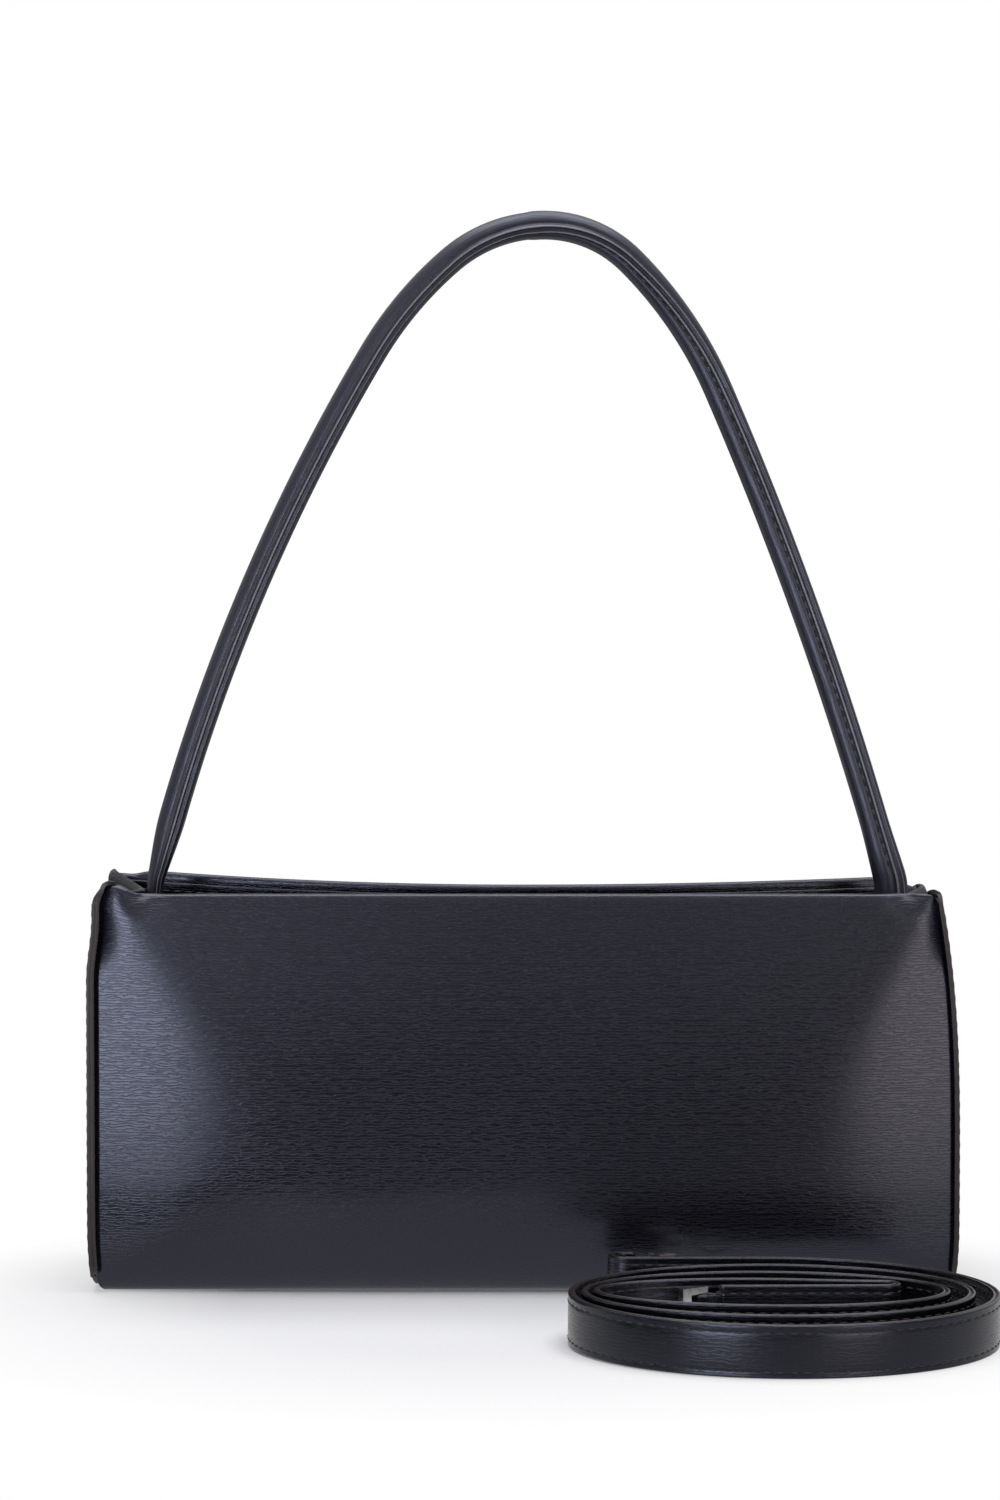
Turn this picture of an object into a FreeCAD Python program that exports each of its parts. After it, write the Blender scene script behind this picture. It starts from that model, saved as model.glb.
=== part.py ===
import FreeCAD, Part
import math
import os
import re
import Sketcher

# Baguette bag with a rolled handle and a detached shoulder strap, in millimetres.
# X runs along the bag, the front faces -Y, +Z is up, the origin is the middle of the bottom.

doc = FreeCAD.newDocument("baguette_bag")
sheet = doc.addObject("Spreadsheet::Sheet", "sizes")

driving = {
    # Body of the bag
    "body_width": 260, "base_depth": 70, "rim_height": 121, "base_round": 10,
    "front_rim": 33, "back_rim_end": 32, "back_rim_mid": 15, "rim_dip": 4,
    "leather": 1.4, "sole_trim": 0.3, "seam_gap": 0.1, "flange": 3, "tuck": 12.5, "tuck_foot": 12,
    # Layers inside the leather
    "stiffener": 1.0, "lining": 0.6, "facing": 1.2, "facing_height": 30, "board": 1.6,
    "pocket_width": 120, "pocket_height": 55, "pocket_sheet": 0.6, "pocket_foot": 20,
    # Magnetic snap
    "snap_radius": 9, "snap_base": 1.6, "post_radius": 3.4, "post_length": 1.8, "socket_wall": 2.6,
    "snap_fit": 0.1, "washer": 0.8, "snap_depth": 16,
    # Handle
    "handle_radius": 4.2, "handle_skin": 1.4, "handle_rise": 200.5, "handle_inset": 19.2,
    "apex_shift": 6.5, "crown_left": 50, "crown_right": 45, "sweep_left": 60, "sweep_right": 63,
    "pivot_lift": 1.2, "swing_gap": 0.3, "tab_width": 14, "tab_sheet": 2.4, "tab_length": 34,
    # Rings for the strap
    "ring_wire": 1.1, "bow_wire": 1, "ring_half": 9, "ring_fit": 0.1, "loop_leather": 1.2, "loop_width": 9,
    "loop_length": 15, "ring_depth": 25,
    # Strap
    "strap_width": 15, "strap_sheet": 2.6, "coil_left": 11.4, "coil_right": 135.7, "coil_front": 171.4,
    "coil_back": 57, "left_step": 3.7, "right_step": 7, "front_step": 15.2, "back_step": 11.6,
    "lead_start": 31, "return_radius": 4.25, "return_run": 3, "hairpin_x": 105, "hairpin_y": 95,
    "hairpin_radius": 3.6, "inner_end_x": 57, "inner_end_y": 103, "tongue_width": 10, "tongue_neck": 5,
    "tongue_leather": 1.5,
    # Clasp
    "eye_sheet": 2.4, "eye_bar": 2.2, "eye_wall": 2, "window_length": 3.8, "eye_head": 3, "eye_play": 0.2,
    "shank_radius": 1.25, "shank_fit": 0.08, "shank_head": 0.9, "head_radius": 2.1,
    "collar_radius": 3, "collar_length": 2, "hook_radius": 5.2, "hook_wire": 1.6, "hook_open": 50,
    "block_half": 2.2, "block_length": 4, "slot_half": 1.2, "gate_half": 1.1, "gate_wide": 1.6,
    "gate_drop": 3, "pin_radius": 0.7, "pin_fit": 0.05, "gate_gap": 0.35, "spring_sheet": 0.3, "clasp_turn": 215,
}
for row, (alias, number) in enumerate(driving.items(), 1):
    sheet.set("A%d" % row, alias)
    sheet.set("B%d" % row, str(number))
    sheet.setAlias("B%d" % row, alias)
doc.recompute()

sub_parts = []


def full(text):
    return re.sub(r"[a-z_]+", lambda m: "sizes." + m.group(0) if m.group(0) in driving else m.group(0), text)


def value(text):
    return float(sheet.evalExpression(full(text)))


def bind(thing, slot, text):
    thing.setExpression(slot, full(text))


def new_body(label):
    body = doc.addObject("PartDesign::Body", label)
    body.Label = label
    sub_parts.append(body)
    return body


def sketch_on(body, name, role, offset=None):
    plane = [feature for feature in body.Origin.OriginFeatures if feature.Role == role][0]
    drawing = body.newObject("Sketcher::SketchObject", name)
    drawing.AttachmentSupport = [(plane, "")]
    drawing.MapMode = "FlatFace"
    if offset:
        bind(drawing, "AttachmentOffset.Base.z", offset)
    return drawing


def limit(drawing, constraint, text):
    number = drawing.addConstraint(constraint)
    drawing.setExpression("Constraints[%d]" % number, full(text))


def pin(drawing, edge, end, across, up):
    limit(drawing, Sketcher.Constraint("DistanceX", -1, 1, edge, end, value(across)), across)
    limit(drawing, Sketcher.Constraint("DistanceY", -1, 1, edge, end, value(up)), up)


def polygon(drawing, corners):
    # A corner with a third value starts a round stretch of that radius, turning left
    first = drawing.GeometryCount
    count = len(corners)
    spots = [FreeCAD.Vector(value(corner[0]), value(corner[1]), 0) for corner in corners]
    for i, corner in enumerate(corners):
        start = spots[i]
        end = spots[(i + 1) % count]
        if len(corner) == 2:
            drawing.addGeometry(Part.LineSegment(start, end))
            continue
        radius = value(corner[2])
        half_chord = (end - start) * 0.5
        inward = FreeCAD.Vector(-half_chord.y, half_chord.x, 0).normalize()
        hub = start + half_chord + inward * math.sqrt(radius ** 2 - half_chord.Length ** 2)
        angles = [math.atan2(spot.y - hub.y, spot.x - hub.x) for spot in (start, end)]
        ring = Part.Circle(hub, FreeCAD.Vector(0, 0, 1), radius)
        sweep = (angles[1] - angles[0]) % (2 * math.pi)
        drawing.addGeometry(Part.ArcOfCircle(ring, angles[0], angles[0] + sweep))
    for i in range(count):
        drawing.addConstraint(Sketcher.Constraint("Coincident", first + i, 2, first + (i + 1) % count, 1))
    for i, corner in enumerate(corners):
        pin(drawing, first + i, 1, corner[0], corner[1])
        if len(corner) == 3:
            limit(drawing, Sketcher.Constraint("Radius", first + i, value(corner[2])), corner[2])


def box_corners(left, right, low, high):
    return [(left, low), (right, low), (right, high), (left, high)]


def circle(drawing, across, up, radius):
    middle = FreeCAD.Vector(value(across), value(up), 0)
    edge = drawing.addGeometry(Part.Circle(middle, FreeCAD.Vector(0, 0, 1), value(radius)))
    pin(drawing, edge, 3, across, up)
    limit(drawing, Sketcher.Constraint("Radius", edge, value(radius)), radius)


def extrude(body, name, kind, drawing, length, midplane=True, reverse=False):
    feature = body.newObject("PartDesign::" + kind, name)
    feature.Profile = drawing
    feature.Midplane = midplane
    feature.Reversed = reverse
    bind(feature, "Length", length)
    return feature


def loft(body, name, kind, sections, ruled=False):
    feature = body.newObject("PartDesign::" + kind, name)
    feature.Profile = sections[0]
    feature.Sections = sections[1:]
    feature.Ruled = ruled


def pipe(body, name, kind, profile, spine):
    feature = body.newObject("PartDesign::" + kind, name)
    feature.Profile = profile
    feature.Spine = (spine, [])


# Where the walls stand: the front is straight, the back bows in towards the middle of the mouth

wrap_half = "(body_width/2 - leather - seam_gap)"
liner_half = "(body_width/2 - leather - 2*seam_gap - lining - leather/2)"
stiffener_out = "(leather + 1.5*seam_gap)"
liner_out = "(leather + stiffener + 2*seam_gap)"
liner_floor = "(leather + board + 2*seam_gap)"
facing_in = "(leather + stiffener + 2*seam_gap + facing)"
over_rim = "(rim_height + 5)"


def back_rim(station):
    return "(back_rim_mid + (back_rim_end - back_rim_mid)*(%s/%s)^2)" % (station, wrap_half)


def back_height(station):
    return "(rim_height - rim_dip*(1 - (%s/%s)^2))" % (station, wrap_half)


def front_y(height, inward):
    return "(-base_depth/2 + (base_depth/2 - front_rim)*(%s)/rim_height + %s)" % (height, inward)


def back_y(station, height, inward):
    lean = "(base_depth/2 - %s)*(%s)/%s" % (back_rim(station), height, back_height(station))
    return "(base_depth/2 - %s - %s)" % (lean, inward)


def stations(half):
    return ["-" + half, "0", half]


# Sheets bent to a trough: front, bottom and back in one piece

def trough_sections(body, name, half, inward, floor, front_top, back_drop):
    drawings = []
    bend = "(base_round - %s)" % inward
    bend_top = "(%s + %s)" % (floor, bend)
    for number, station in enumerate(stations(half)):
        drawing = sketch_on(body, "%s_%d" % (name, number), "YZ_Plane", station)
        back_top = "(%s + %s)" % (back_height(station), back_drop)
        polygon(drawing, [
            (front_y(front_top, inward), front_top), (front_y(bend_top, inward), bend_top, bend),
            ("%s + %s" % (front_y(floor, inward), bend), floor),
            ("%s - %s" % (back_y(station, floor, inward), bend), floor, bend),
            (back_y(station, bend_top, inward), bend_top), (back_y(station, back_top, inward), back_top)])
        drawings.append(drawing)
    return drawings


def trough(label, half, inward, floor, sheet_size, top, trim="0"):
    body = new_body(label)
    low = "(%s - %s)" % (floor, trim)
    outside = trough_sections(body, label + "_outside", half, inward, low, "(rim_height + %s)" % top, top)
    loft(body, label + "_block", "AdditiveLoft", outside)
    inner = "(%s + %s)" % (inward, sheet_size)
    inner_floor = "(%s + %s)" % (floor, sheet_size)
    inside = trough_sections(body, label + "_inside", half, inner, inner_floor, over_rim, "5")
    loft(body, label + "_hollow", "SubtractiveLoft", inside)
    return body


def seam_flange(body, name, side):
    start = "(body_width/2 - 2*leather - seam_gap)"
    drawing = sketch_on(body, name + "_outline", "YZ_Plane", side + start)
    end = wrap_half
    root = "leather/2"
    low = "base_round"
    high = "rim_height"
    polygon(drawing, [(front_y(high, "-flange"), high), (front_y(low, "-flange"), low),
                      (front_y(low, root), low), (front_y(high, root), high)])
    polygon(drawing, [(back_y(end, high, "-flange"), high), (back_y(end, low, "-flange"), low),
                      (back_y(end, low, root), low), (back_y(end, high, root), high)])
    extrude(body, name, "Pad", drawing, "leather", midplane=False, reverse=(side == "-"))


wrap = trough("outer_wrap", wrap_half, "0", "0", "leather", "0", trim="sole_trim")
sole = sketch_on(wrap, "sole_outline", "XZ_Plane")
polygon(sole, box_corners("-body_width", "body_width", "-base_round", "0"))
extrude(wrap, "flat_sole", "Pocket", sole, "4*base_depth")
seam_flange(wrap, "left_flange", "-")
seam_flange(wrap, "right_flange", "")
trough("lining_wrap", liner_half, liner_out, liner_floor, "lining", "(-facing_height - seam_gap)")


# Sheets against one wall: stiffeners, facings and the slip pocket

def wall_sheet(label, side, half, outer, inner, low, drop):
    body = new_body(label)
    drawings = []
    for number, station in enumerate(stations(half)):
        drawing = sketch_on(body, "%s_%d" % (label, number), "YZ_Plane", station)
        if side == "front":
            high = "(rim_height - %s)" % drop
            corners = [(front_y(low, outer), low), (front_y(low, inner), low),
                       (front_y(high, inner), high), (front_y(high, outer), high)]
        else:
            high = "(%s - %s)" % (back_height(station), drop)
            corners = [(back_y(station, low, outer), low), (back_y(station, low, inner), low),
                       (back_y(station, high, inner), high), (back_y(station, high, outer), high)]
        polygon(drawing, corners)
        drawings.append(drawing)
    loft(body, label + "_sheet", "AdditiveLoft", drawings)


for side in ("front", "back"):
    wall_sheet("stiffener_" + side, side, liner_half, stiffener_out, "(%s + stiffener)" % stiffener_out,
               "base_round", "(facing_height + seam_gap)")
    wall_sheet("facing_" + side, side, liner_half, liner_out, facing_in, "(rim_height - facing_height)", "0")
pocket_out = "(%s + lining + seam_gap)" % liner_out
wall_sheet("slip_pocket", "front", "(pocket_width/2)", pocket_out, "(%s + pocket_sheet)" % pocket_out,
           "pocket_foot", "(rim_height - pocket_foot - pocket_height)")

board = new_body("base_board")
board_outline = sketch_on(board, "board_outline", "XY_Plane", "leather + seam_gap")
board_reach = "(base_depth/2 - base_round)"
polygon(board_outline, box_corners("-" + liner_half, liner_half, "-" + board_reach, board_reach))
extrude(board, "board_sheet", "Pad", board_outline, "board", midplane=False)


# Side panels: flat at the bottom, folded inwards along the middle towards the mouth

def tuck_at(height):
    return "(tuck*(%s - tuck_foot)/(rim_height - tuck_foot))" % height


def side_panel(label, side, face, sheet_size, edge, fold, floor, top, corner):
    body = new_body(label)
    drawings = []
    for number, height in enumerate((floor, "tuck_foot", top)):
        depth = "0" if number < 2 else tuck_at(height)
        drawing = sketch_on(body, "%s_%d" % (label, number), "XY_Plane", height)
        front_edge = front_y(height, edge)
        back_edge = back_y(wrap_half, height, edge)
        front_fold = front_y(height, fold)
        back_fold = back_y(wrap_half, height, fold)
        outer = "%s(%s)" % (side, face)
        inner = "%s(%s - %s)" % (side, face, sheet_size)
        outer_apex = "%s(%s - %s)" % (side, face, depth)
        inner_apex = "%s(%s - %s - %s)" % (side, face, sheet_size, depth)
        polygon(drawing, [
            (outer, front_edge), (outer, front_fold), (outer_apex, "0"), (outer, back_fold),
            (outer, back_edge), (inner, back_edge), (inner, back_fold), (inner_apex, "0"),
            (inner, front_fold), (inner, front_edge)])
        drawings.append(drawing)
    loft(body, label + "_panel", "AdditiveLoft", drawings, ruled=True)
    corners = sketch_on(body, label + "_corner_outline", "YZ_Plane")
    above = "(%s + %s)" % (floor, corner)
    below = "(%s - %s)" % (floor, corner)
    front_low = front_y(floor, edge)
    back_low = back_y(wrap_half, floor, edge)
    front_far = "(%s - %s)" % (front_low, corner)
    back_far = "(%s + %s)" % (back_low, corner)
    front_in = "(%s + %s)" % (front_low, corner)
    back_in = "(%s - %s)" % (back_low, corner)
    polygon(corners, [(front_far, below), (front_far, above), (front_y(above, edge), above, corner),
                      (front_in, floor), (front_in, below)])
    polygon(corners, [(back_in, below), (back_in, floor, corner), (back_y(wrap_half, above, edge), above),
                      (back_far, above), (back_far, below)])
    extrude(body, label + "_corners", "Pocket", corners, "2*body_width")


fold_line = "(%s + leather/2)" % facing_in
lining_face = "(body_width/2 - leather - 2*seam_gap)"
for name, side in (("left", "-"), ("right", "")):
    side_panel(name + "_gusset", side, "body_width/2", "leather", "(-flange)", fold_line,
               "3*seam_gap", "rim_height", "(base_round + flange)")
    side_panel("lining_" + name, side, lining_face, "lining", "(leather + 4*seam_gap)", fold_line,
               "(%s + lining + seam_gap)" % liner_floor, "(rim_height - leather)", "base_round")


# Magnetic snap: each half sits on its facing, with a washer behind the facing

def disc_stack(label, discs, bore=None):
    body = new_body(label)
    for number, (low, thick, radius) in enumerate(discs):
        drawing = sketch_on(body, "%s_disc_%d" % (label, number), "XY_Plane", low)
        circle(drawing, "0", "0", radius)
        extrude(body, "%s_layer_%d" % (label, number), "Pad", drawing, thick, midplane=False)
    if bore:
        drawing = sketch_on(body, label + "_bore", "XY_Plane", bore[0])
        circle(drawing, "0", "0", bore[1])
        extrude(body, label + "_hole", "Pocket", drawing, bore[2], midplane=False, reverse=True)
    return body


snap_height = "(rim_height - rim_dip - snap_depth)"


def seat_snap(body, side):
    body.Placement.Rotation = FreeCAD.Rotation(FreeCAD.Vector(1, 0, 0), 90)
    if side == "front":
        bind(body, "Placement.Base.y", front_y(snap_height, facing_in))
        bind(body, "Placement.Rotation.Angle", "-90 deg - atan((base_depth/2 - front_rim)/rim_height)")
    else:
        bind(body, "Placement.Base.y", back_y("0", snap_height, facing_in))
        bind(body, "Placement.Rotation.Angle",
             "90 deg + atan((base_depth/2 - back_rim_mid)/(rim_height - rim_dip))")
    bind(body, "Placement.Base.z", snap_height)


washer_seat = "-(facing + 1.5*seam_gap + washer)"
seat_snap(disc_stack("snap_post", [("1.5*seam_gap", "snap_base", "snap_radius"),
                                   ("1.5*seam_gap + snap_base", "post_length", "post_radius")]), "front")
seat_snap(disc_stack("snap_socket", [("1.5*seam_gap", "snap_base + socket_wall", "snap_radius")],
                     ("1.5*seam_gap + snap_base", "post_radius + snap_fit", "socket_wall")), "back")
for half, side in (("post", "front"), ("socket", "back")):
    seat_snap(disc_stack("snap_%s_washer" % half, [(washer_seat, "washer", "snap_radius")]), side)


# Handle: a rolled leather tube over a core, standing on two arcs a side

pivot_height = "(rim_height + pivot_lift)"
apex_height = "(%s + handle_rise)" % pivot_height
half_span = "(body_width/2 - handle_inset)"


def handle_spine(body, name, side):
    drawing = sketch_on(body, name, "XZ_Plane")
    crown = "crown_left" if side == "left" else "crown_right"
    sweep = math.radians(value("sweep_left" if side == "left" else "sweep_right"))
    turn = 1 if side == "left" else -1
    root = "-" + half_span if side == "left" else half_span
    hub = FreeCAD.Vector(value("apex_shift"), value(apex_height) - value(crown), 0)
    upright = FreeCAD.Vector(0, 0, 1)
    lean = math.pi / 2 + turn * sweep
    outward = FreeCAD.Vector(math.cos(lean), math.sin(lean), 0)
    shoulder = hub + outward * value(crown)
    foot = FreeCAD.Vector(value(root), value(pivot_height), 0)
    chord = foot - shoulder
    leg = -chord.Length ** 2 / (2 * chord.dot(outward))
    leg_hub = shoulder - outward * leg
    foot_lean = math.atan2(foot.y - leg_hub.y, foot.x - leg_hub.x)
    spans = sorted((math.pi / 2, lean)), sorted((lean, foot_lean % (2 * math.pi) if turn > 0 else foot_lean))
    arc = drawing.addGeometry(Part.ArcOfCircle(Part.Circle(hub, upright, value(crown)), *spans[0]))
    long_arc = drawing.addGeometry(Part.ArcOfCircle(Part.Circle(leg_hub, upright, leg), *spans[1]))
    top_end, joint_end = (1, 2) if side == "left" else (2, 1)
    pin(drawing, arc, 3, "apex_shift", "%s - %s" % (apex_height, crown))
    limit(drawing, Sketcher.Constraint("Radius", arc, value(crown)), crown)
    limit(drawing, Sketcher.Constraint("DistanceX", -1, 1, arc, top_end, value("apex_shift")), "apex_shift")
    shoulder_x = "apex_shift - sin(sweep_left)*crown_left" if side == "left" \
        else "apex_shift + sin(sweep_right)*crown_right"
    limit(drawing, Sketcher.Constraint("DistanceX", -1, 1, arc, joint_end, value(shoulder_x)), shoulder_x)
    drawing.addConstraint(Sketcher.Constraint("Tangent", arc, joint_end, long_arc, top_end))
    pin(drawing, long_arc, joint_end, root, pivot_height)
    return drawing


def handle_tube(body, name, kind, radius):
    profile = sketch_on(body, name + "_ring", "YZ_Plane", "apex_shift")
    circle(profile, "0", apex_height, radius)
    for side in ("left", "right"):
        branch = "%s_%s" % (name, side)
        pipe(body, branch, kind, profile, handle_spine(body, branch + "_spine", side))


cover = new_body("handle_cover")
handle_tube(cover, "cover", "AdditivePipe", "handle_radius")
handle_tube(cover, "bore", "SubtractivePipe", "handle_radius - handle_skin")
for side, sign in (("left", "-"), ("right", "")):
    knuckle = sketch_on(cover, side + "_knuckle_ring", "YZ_Plane", sign + half_span)
    circle(knuckle, "0", pivot_height, "handle_radius")
    extrude(cover, side + "_knuckle", "Pad", knuckle, "2*handle_radius")

core = new_body("handle_core")
handle_tube(core, "core", "AdditivePipe", "handle_radius - handle_skin - 3*seam_gap")
core_ends = sketch_on(core, "core_ends", "XZ_Plane")
polygon(core_ends, box_corners("-body_width/2", "body_width/2", "(%s - 2*handle_radius)" % pivot_height,
                               "(%s + 1.6*handle_radius)" % pivot_height))
extrude(core, "core_trim", "Pocket", core_ends, "4*handle_radius")


# Tabs that end the handle, and the rings with their loops, along the fold of each gusset

def fold_x(side, height, inward):
    return "%s(%s - lining - %s - %s)" % (side, lining_face, tuck_at(height), inward)


tab_seat = "3*seam_gap"
tab_top = "(%s - handle_radius - swing_gap)" % pivot_height
loop_seat = "(%s + tab_sheet + seam_gap)" % tab_seat
loop_radius = "(ring_wire + ring_fit + loop_leather)"
ring_height = "(rim_height - ring_depth)"


def slanted_sheet(body, name, side, low, high, seat, thick, width):
    drawing = sketch_on(body, name + "_outline", "XZ_Plane")
    far = "(%s + %s)" % (seat, thick)
    polygon(drawing, [(fold_x(side, low, seat), low), (fold_x(side, high, seat), high),
                      (fold_x(side, high, far), high), (fold_x(side, low, far), low)])
    extrude(body, name, "Pad", drawing, width)


for name, side in (("left", "-"), ("right", "")):
    tab = new_body("handle_tab_" + name)
    tab_foot = "(%s - tab_length)" % tab_top
    slanted_sheet(tab, name + "_tab_sheet", side, tab_foot, tab_top, tab_seat, "tab_sheet", "tab_width")
    ring_x = fold_x(side, ring_height, "(%s + %s)" % (loop_seat, loop_radius))
    loop = new_body("ring_tab_" + name)
    loop_top = "(%s + loop_length)" % ring_height
    slanted_sheet(loop, name + "_loop_sheet", side, ring_height, loop_top, loop_seat, "loop_leather",
                  "loop_width")
    eye = sketch_on(loop, name + "_loop_eye", "XZ_Plane")
    circle(eye, ring_x, ring_height, loop_radius)
    extrude(loop, name + "_loop_roll", "Pad", eye, "loop_width")
    hole = sketch_on(loop, name + "_loop_hole", "XZ_Plane")
    circle(hole, ring_x, ring_height, "ring_wire + ring_fit")
    extrude(loop, name + "_loop_bore", "Pocket", hole, "2*loop_width")
    ring = new_body("d_ring_" + name)
    bar = sketch_on(ring, name + "_ring_bar_end", "XZ_Plane")
    circle(bar, ring_x, ring_height, "ring_wire")
    extrude(ring, name + "_ring_bar", "Pad", bar, "2*ring_half + 2*ring_wire")
    bow = sketch_on(ring, name + "_ring_bow", "YZ_Plane", ring_x)
    hub = FreeCAD.Vector(0, value(ring_height), 0)
    ring_circle = Part.Circle(hub, FreeCAD.Vector(0, 0, 1), value("ring_half"))
    bow_arc = bow.addGeometry(Part.ArcOfCircle(ring_circle, math.pi, 2 * math.pi))
    pin(bow, bow_arc, 3, "0", ring_height)
    pin(bow, bow_arc, 1, "-ring_half", ring_height)
    limit(bow, Sketcher.Constraint("DistanceY", -1, 1, bow_arc, 2, value(ring_height)), ring_height)
    wire = sketch_on(ring, name + "_ring_wire", "XY_Plane", ring_height)
    circle(wire, ring_x, "-ring_half", "bow_wire")
    pipe(ring, name + "_ring_bend", "AdditivePipe", wire, bow)


# Strap: one band standing on its edge, coiled from the outside inwards

def coil_place(turns):
    left = value("coil_left") + value("left_step") * turns
    right = value("coil_right") - value("right_step") * turns
    front = -value("coil_front") + value("front_step") * turns
    back = -value("coil_back") - value("back_step") * turns
    angle = math.pi / 2 - 2 * math.pi * turns
    middle = FreeCAD.Vector((left + right) / 2, (front + back) / 2, 0)
    reach = FreeCAD.Vector((right - left) / 2 * math.cos(angle), (back - front) / 2 * math.sin(angle), 0)
    return middle + reach


def heading(degrees):
    return FreeCAD.Vector(math.cos(math.radians(degrees)), math.sin(math.radians(degrees)), 0)


full_turns = 3
steps_a_turn = 8
strap_lift = value("strap_width") / 2
lead = FreeCAD.Vector(value("lead_start"), -value("coil_back"), 0)
back_turn = lead + FreeCAD.Vector(0, 2 * value("return_radius"), 0)
outer_end = back_turn + FreeCAD.Vector(value("return_run"), 0, 0)
hairpin_in = FreeCAD.Vector(value("hairpin_x"), -value("hairpin_y"), 0)
hairpin_out = hairpin_in - FreeCAD.Vector(0, 2 * value("hairpin_radius"), 0)
inner_end = FreeCAD.Vector(value("inner_end_x"), -value("inner_end_y"), 0)
run = inner_end - hairpin_out
run_angle = math.degrees(math.atan2(run.y, run.x)) % 360


def strap_route():
    route = [(outer_end, heading(180)), (back_turn, heading(180)), (lead, heading(0))]
    tick = 0.0005
    for number in range(full_turns * steps_a_turn + 1):
        turns = number / steps_a_turn
        ahead = coil_place(turns + tick) - coil_place(turns - tick)
        route.append((coil_place(turns), ahead.normalize()))
    return route + [(hairpin_in, heading(0)), (hairpin_out, heading(180)), (inner_end, run.normalize())]


def two_arcs(start, start_way, end, end_way):
    gap = end - start
    ways = start_way + end_way
    square = 2 * (1 - start_way.dot(end_way))
    if square < 1e-9:
        return [(start, start_way, end)]
    half = gap.dot(ways)
    reach = (-half + math.sqrt(half * half + square * gap.dot(gap))) / square
    joint = (start + start_way * reach + end - end_way * reach) * 0.5
    chord = (joint - start).normalize()
    return [(start, start_way, joint), (joint, chord * (2 * chord.dot(start_way)) - start_way, end)]


def left_of(way):
    return FreeCAD.Vector(-way.y, way.x, 0)


def band_sides(start, way, end):
    chord = (end - start).normalize()
    end_way = chord * (2 * chord.dot(way)) - way
    side = left_of(way)
    bend = 2 * (end - start).dot(side) / (end - start).dot(end - start)
    half = value("strap_sheet") / 2
    edges = []
    for shift in (half, -half):
        first = start + side * shift
        last = end + left_of(end_way) * shift
        if abs(bend) < 1e-6:
            edges.append(Part.makeLine(first, last))
            continue
        hub = start + side * (1 / bend)
        middle_out = ((start + end) * 0.5 - hub).normalize()
        if chord.dot(way) < 0:
            middle_out = middle_out * -1
        radius = abs(1 / bend) - shift * math.copysign(1, bend)
        edges.append(Part.Arc(first, hub + middle_out * radius, last).toShape())
    return edges


arcs = []
route = strap_route()
for (start, start_way), (end, end_way) in zip(route, route[1:]):
    arcs += two_arcs(start, start_way, end, end_way)
sides = [band_sides(*arc) for arc in arcs]
left_edges = [pair[0] for pair in sides]
right_edges = [pair[1] for pair in sides]
first_cap = Part.makeLine(left_edges[0].Vertexes[0].Point, right_edges[0].Vertexes[0].Point)
last_cap = Part.makeLine(left_edges[-1].Vertexes[-1].Point, right_edges[-1].Vertexes[-1].Point)
outline = Part.Wire(Part.__sortEdges__(left_edges + right_edges + [first_cap, last_cap]))
band = doc.addObject("Part::Feature", "strap_band")
band.Label = "strap_band"
band.Shape = Part.Face(outline).extrude(FreeCAD.Vector(0, 0, value("strap_width")))
band.Placement = FreeCAD.Placement()
sub_parts.append(band)


def point_on(start, way, end, share):
    chord = end - start
    turn = way.getAngle(chord)
    if turn < 1e-6:
        return start + chord * share
    rising = (way.cross(chord)).z > 0
    spin = FreeCAD.Rotation(FreeCAD.Vector(0, 0, 1), math.degrees(turn * (share - 1) * (1 if rising else -1)))
    return start + spin.multVec(chord) * (math.sin(turn * share) / math.sin(turn))


spots = [point_on(*arc, share / 10) for arc in arcs for share in range(10)]
walked = [0.0]
for near, far in zip(spots, spots[1:]):
    walked.append(walked[-1] + (far - near).Length)
clear_walk = 6 * value("strap_sheet")
least = min((a - b).Length for i, a in enumerate(spots) for j, b in enumerate(spots[:i])
            if walked[i] - walked[j] > clear_walk)
print("strap length %.1f mm, least gap to itself %.2f mm" % (walked[-1], least - value("strap_sheet")))


# Folded strap ends and the clasps, each in the frame of the bar that the strap end goes round

def stand(thing, spot, turn):
    thing.Placement = FreeCAD.Placement(FreeCAD.Vector(spot.x, spot.y, strap_lift),
                                        FreeCAD.Rotation(FreeCAD.Vector(0, 0, 1), turn))


bar_reach = "(eye_bar/2)"
tongue_hole = "(0.8*eye_bar)"
window_end = "(%s + window_length)" % bar_reach
eye_end = "(%s + eye_head)" % window_end
collar_start = "(%s + eye_play)" % eye_end
block_start = "(%s + collar_length)" % collar_start
block_end = "(%s + block_length)" % block_start
hook_hub = "(%s + hook_radius)" % block_end
eye_half = "(tongue_width/2 + eye_play + eye_wall)"
gate_axis_x = "(%s + block_length/2)" % block_start
gate_axis_y = "(-gate_drop)"


def strap_loop(label, spot, turn):
    body = new_body(label)
    drawing = sketch_on(body, label + "_roll_ring", "XY_Plane")
    circle(drawing, "0", "0", "%s + tongue_leather" % tongue_hole)
    extrude(body, label + "_roll", "Pad", drawing, "tongue_width")
    neck = sketch_on(body, label + "_neck_outline", "XY_Plane")
    polygon(neck, box_corners("-tongue_neck", "-" + tongue_hole, "-strap_sheet/2", "strap_sheet/2"))
    extrude(body, label + "_neck", "Pad", neck, "tongue_width")
    hole = sketch_on(body, label + "_hole_ring", "XY_Plane")
    circle(hole, "0", "0", tongue_hole)
    extrude(body, label + "_hole", "Pocket", hole, "2*tongue_width")
    stand(body, spot, turn)


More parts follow.
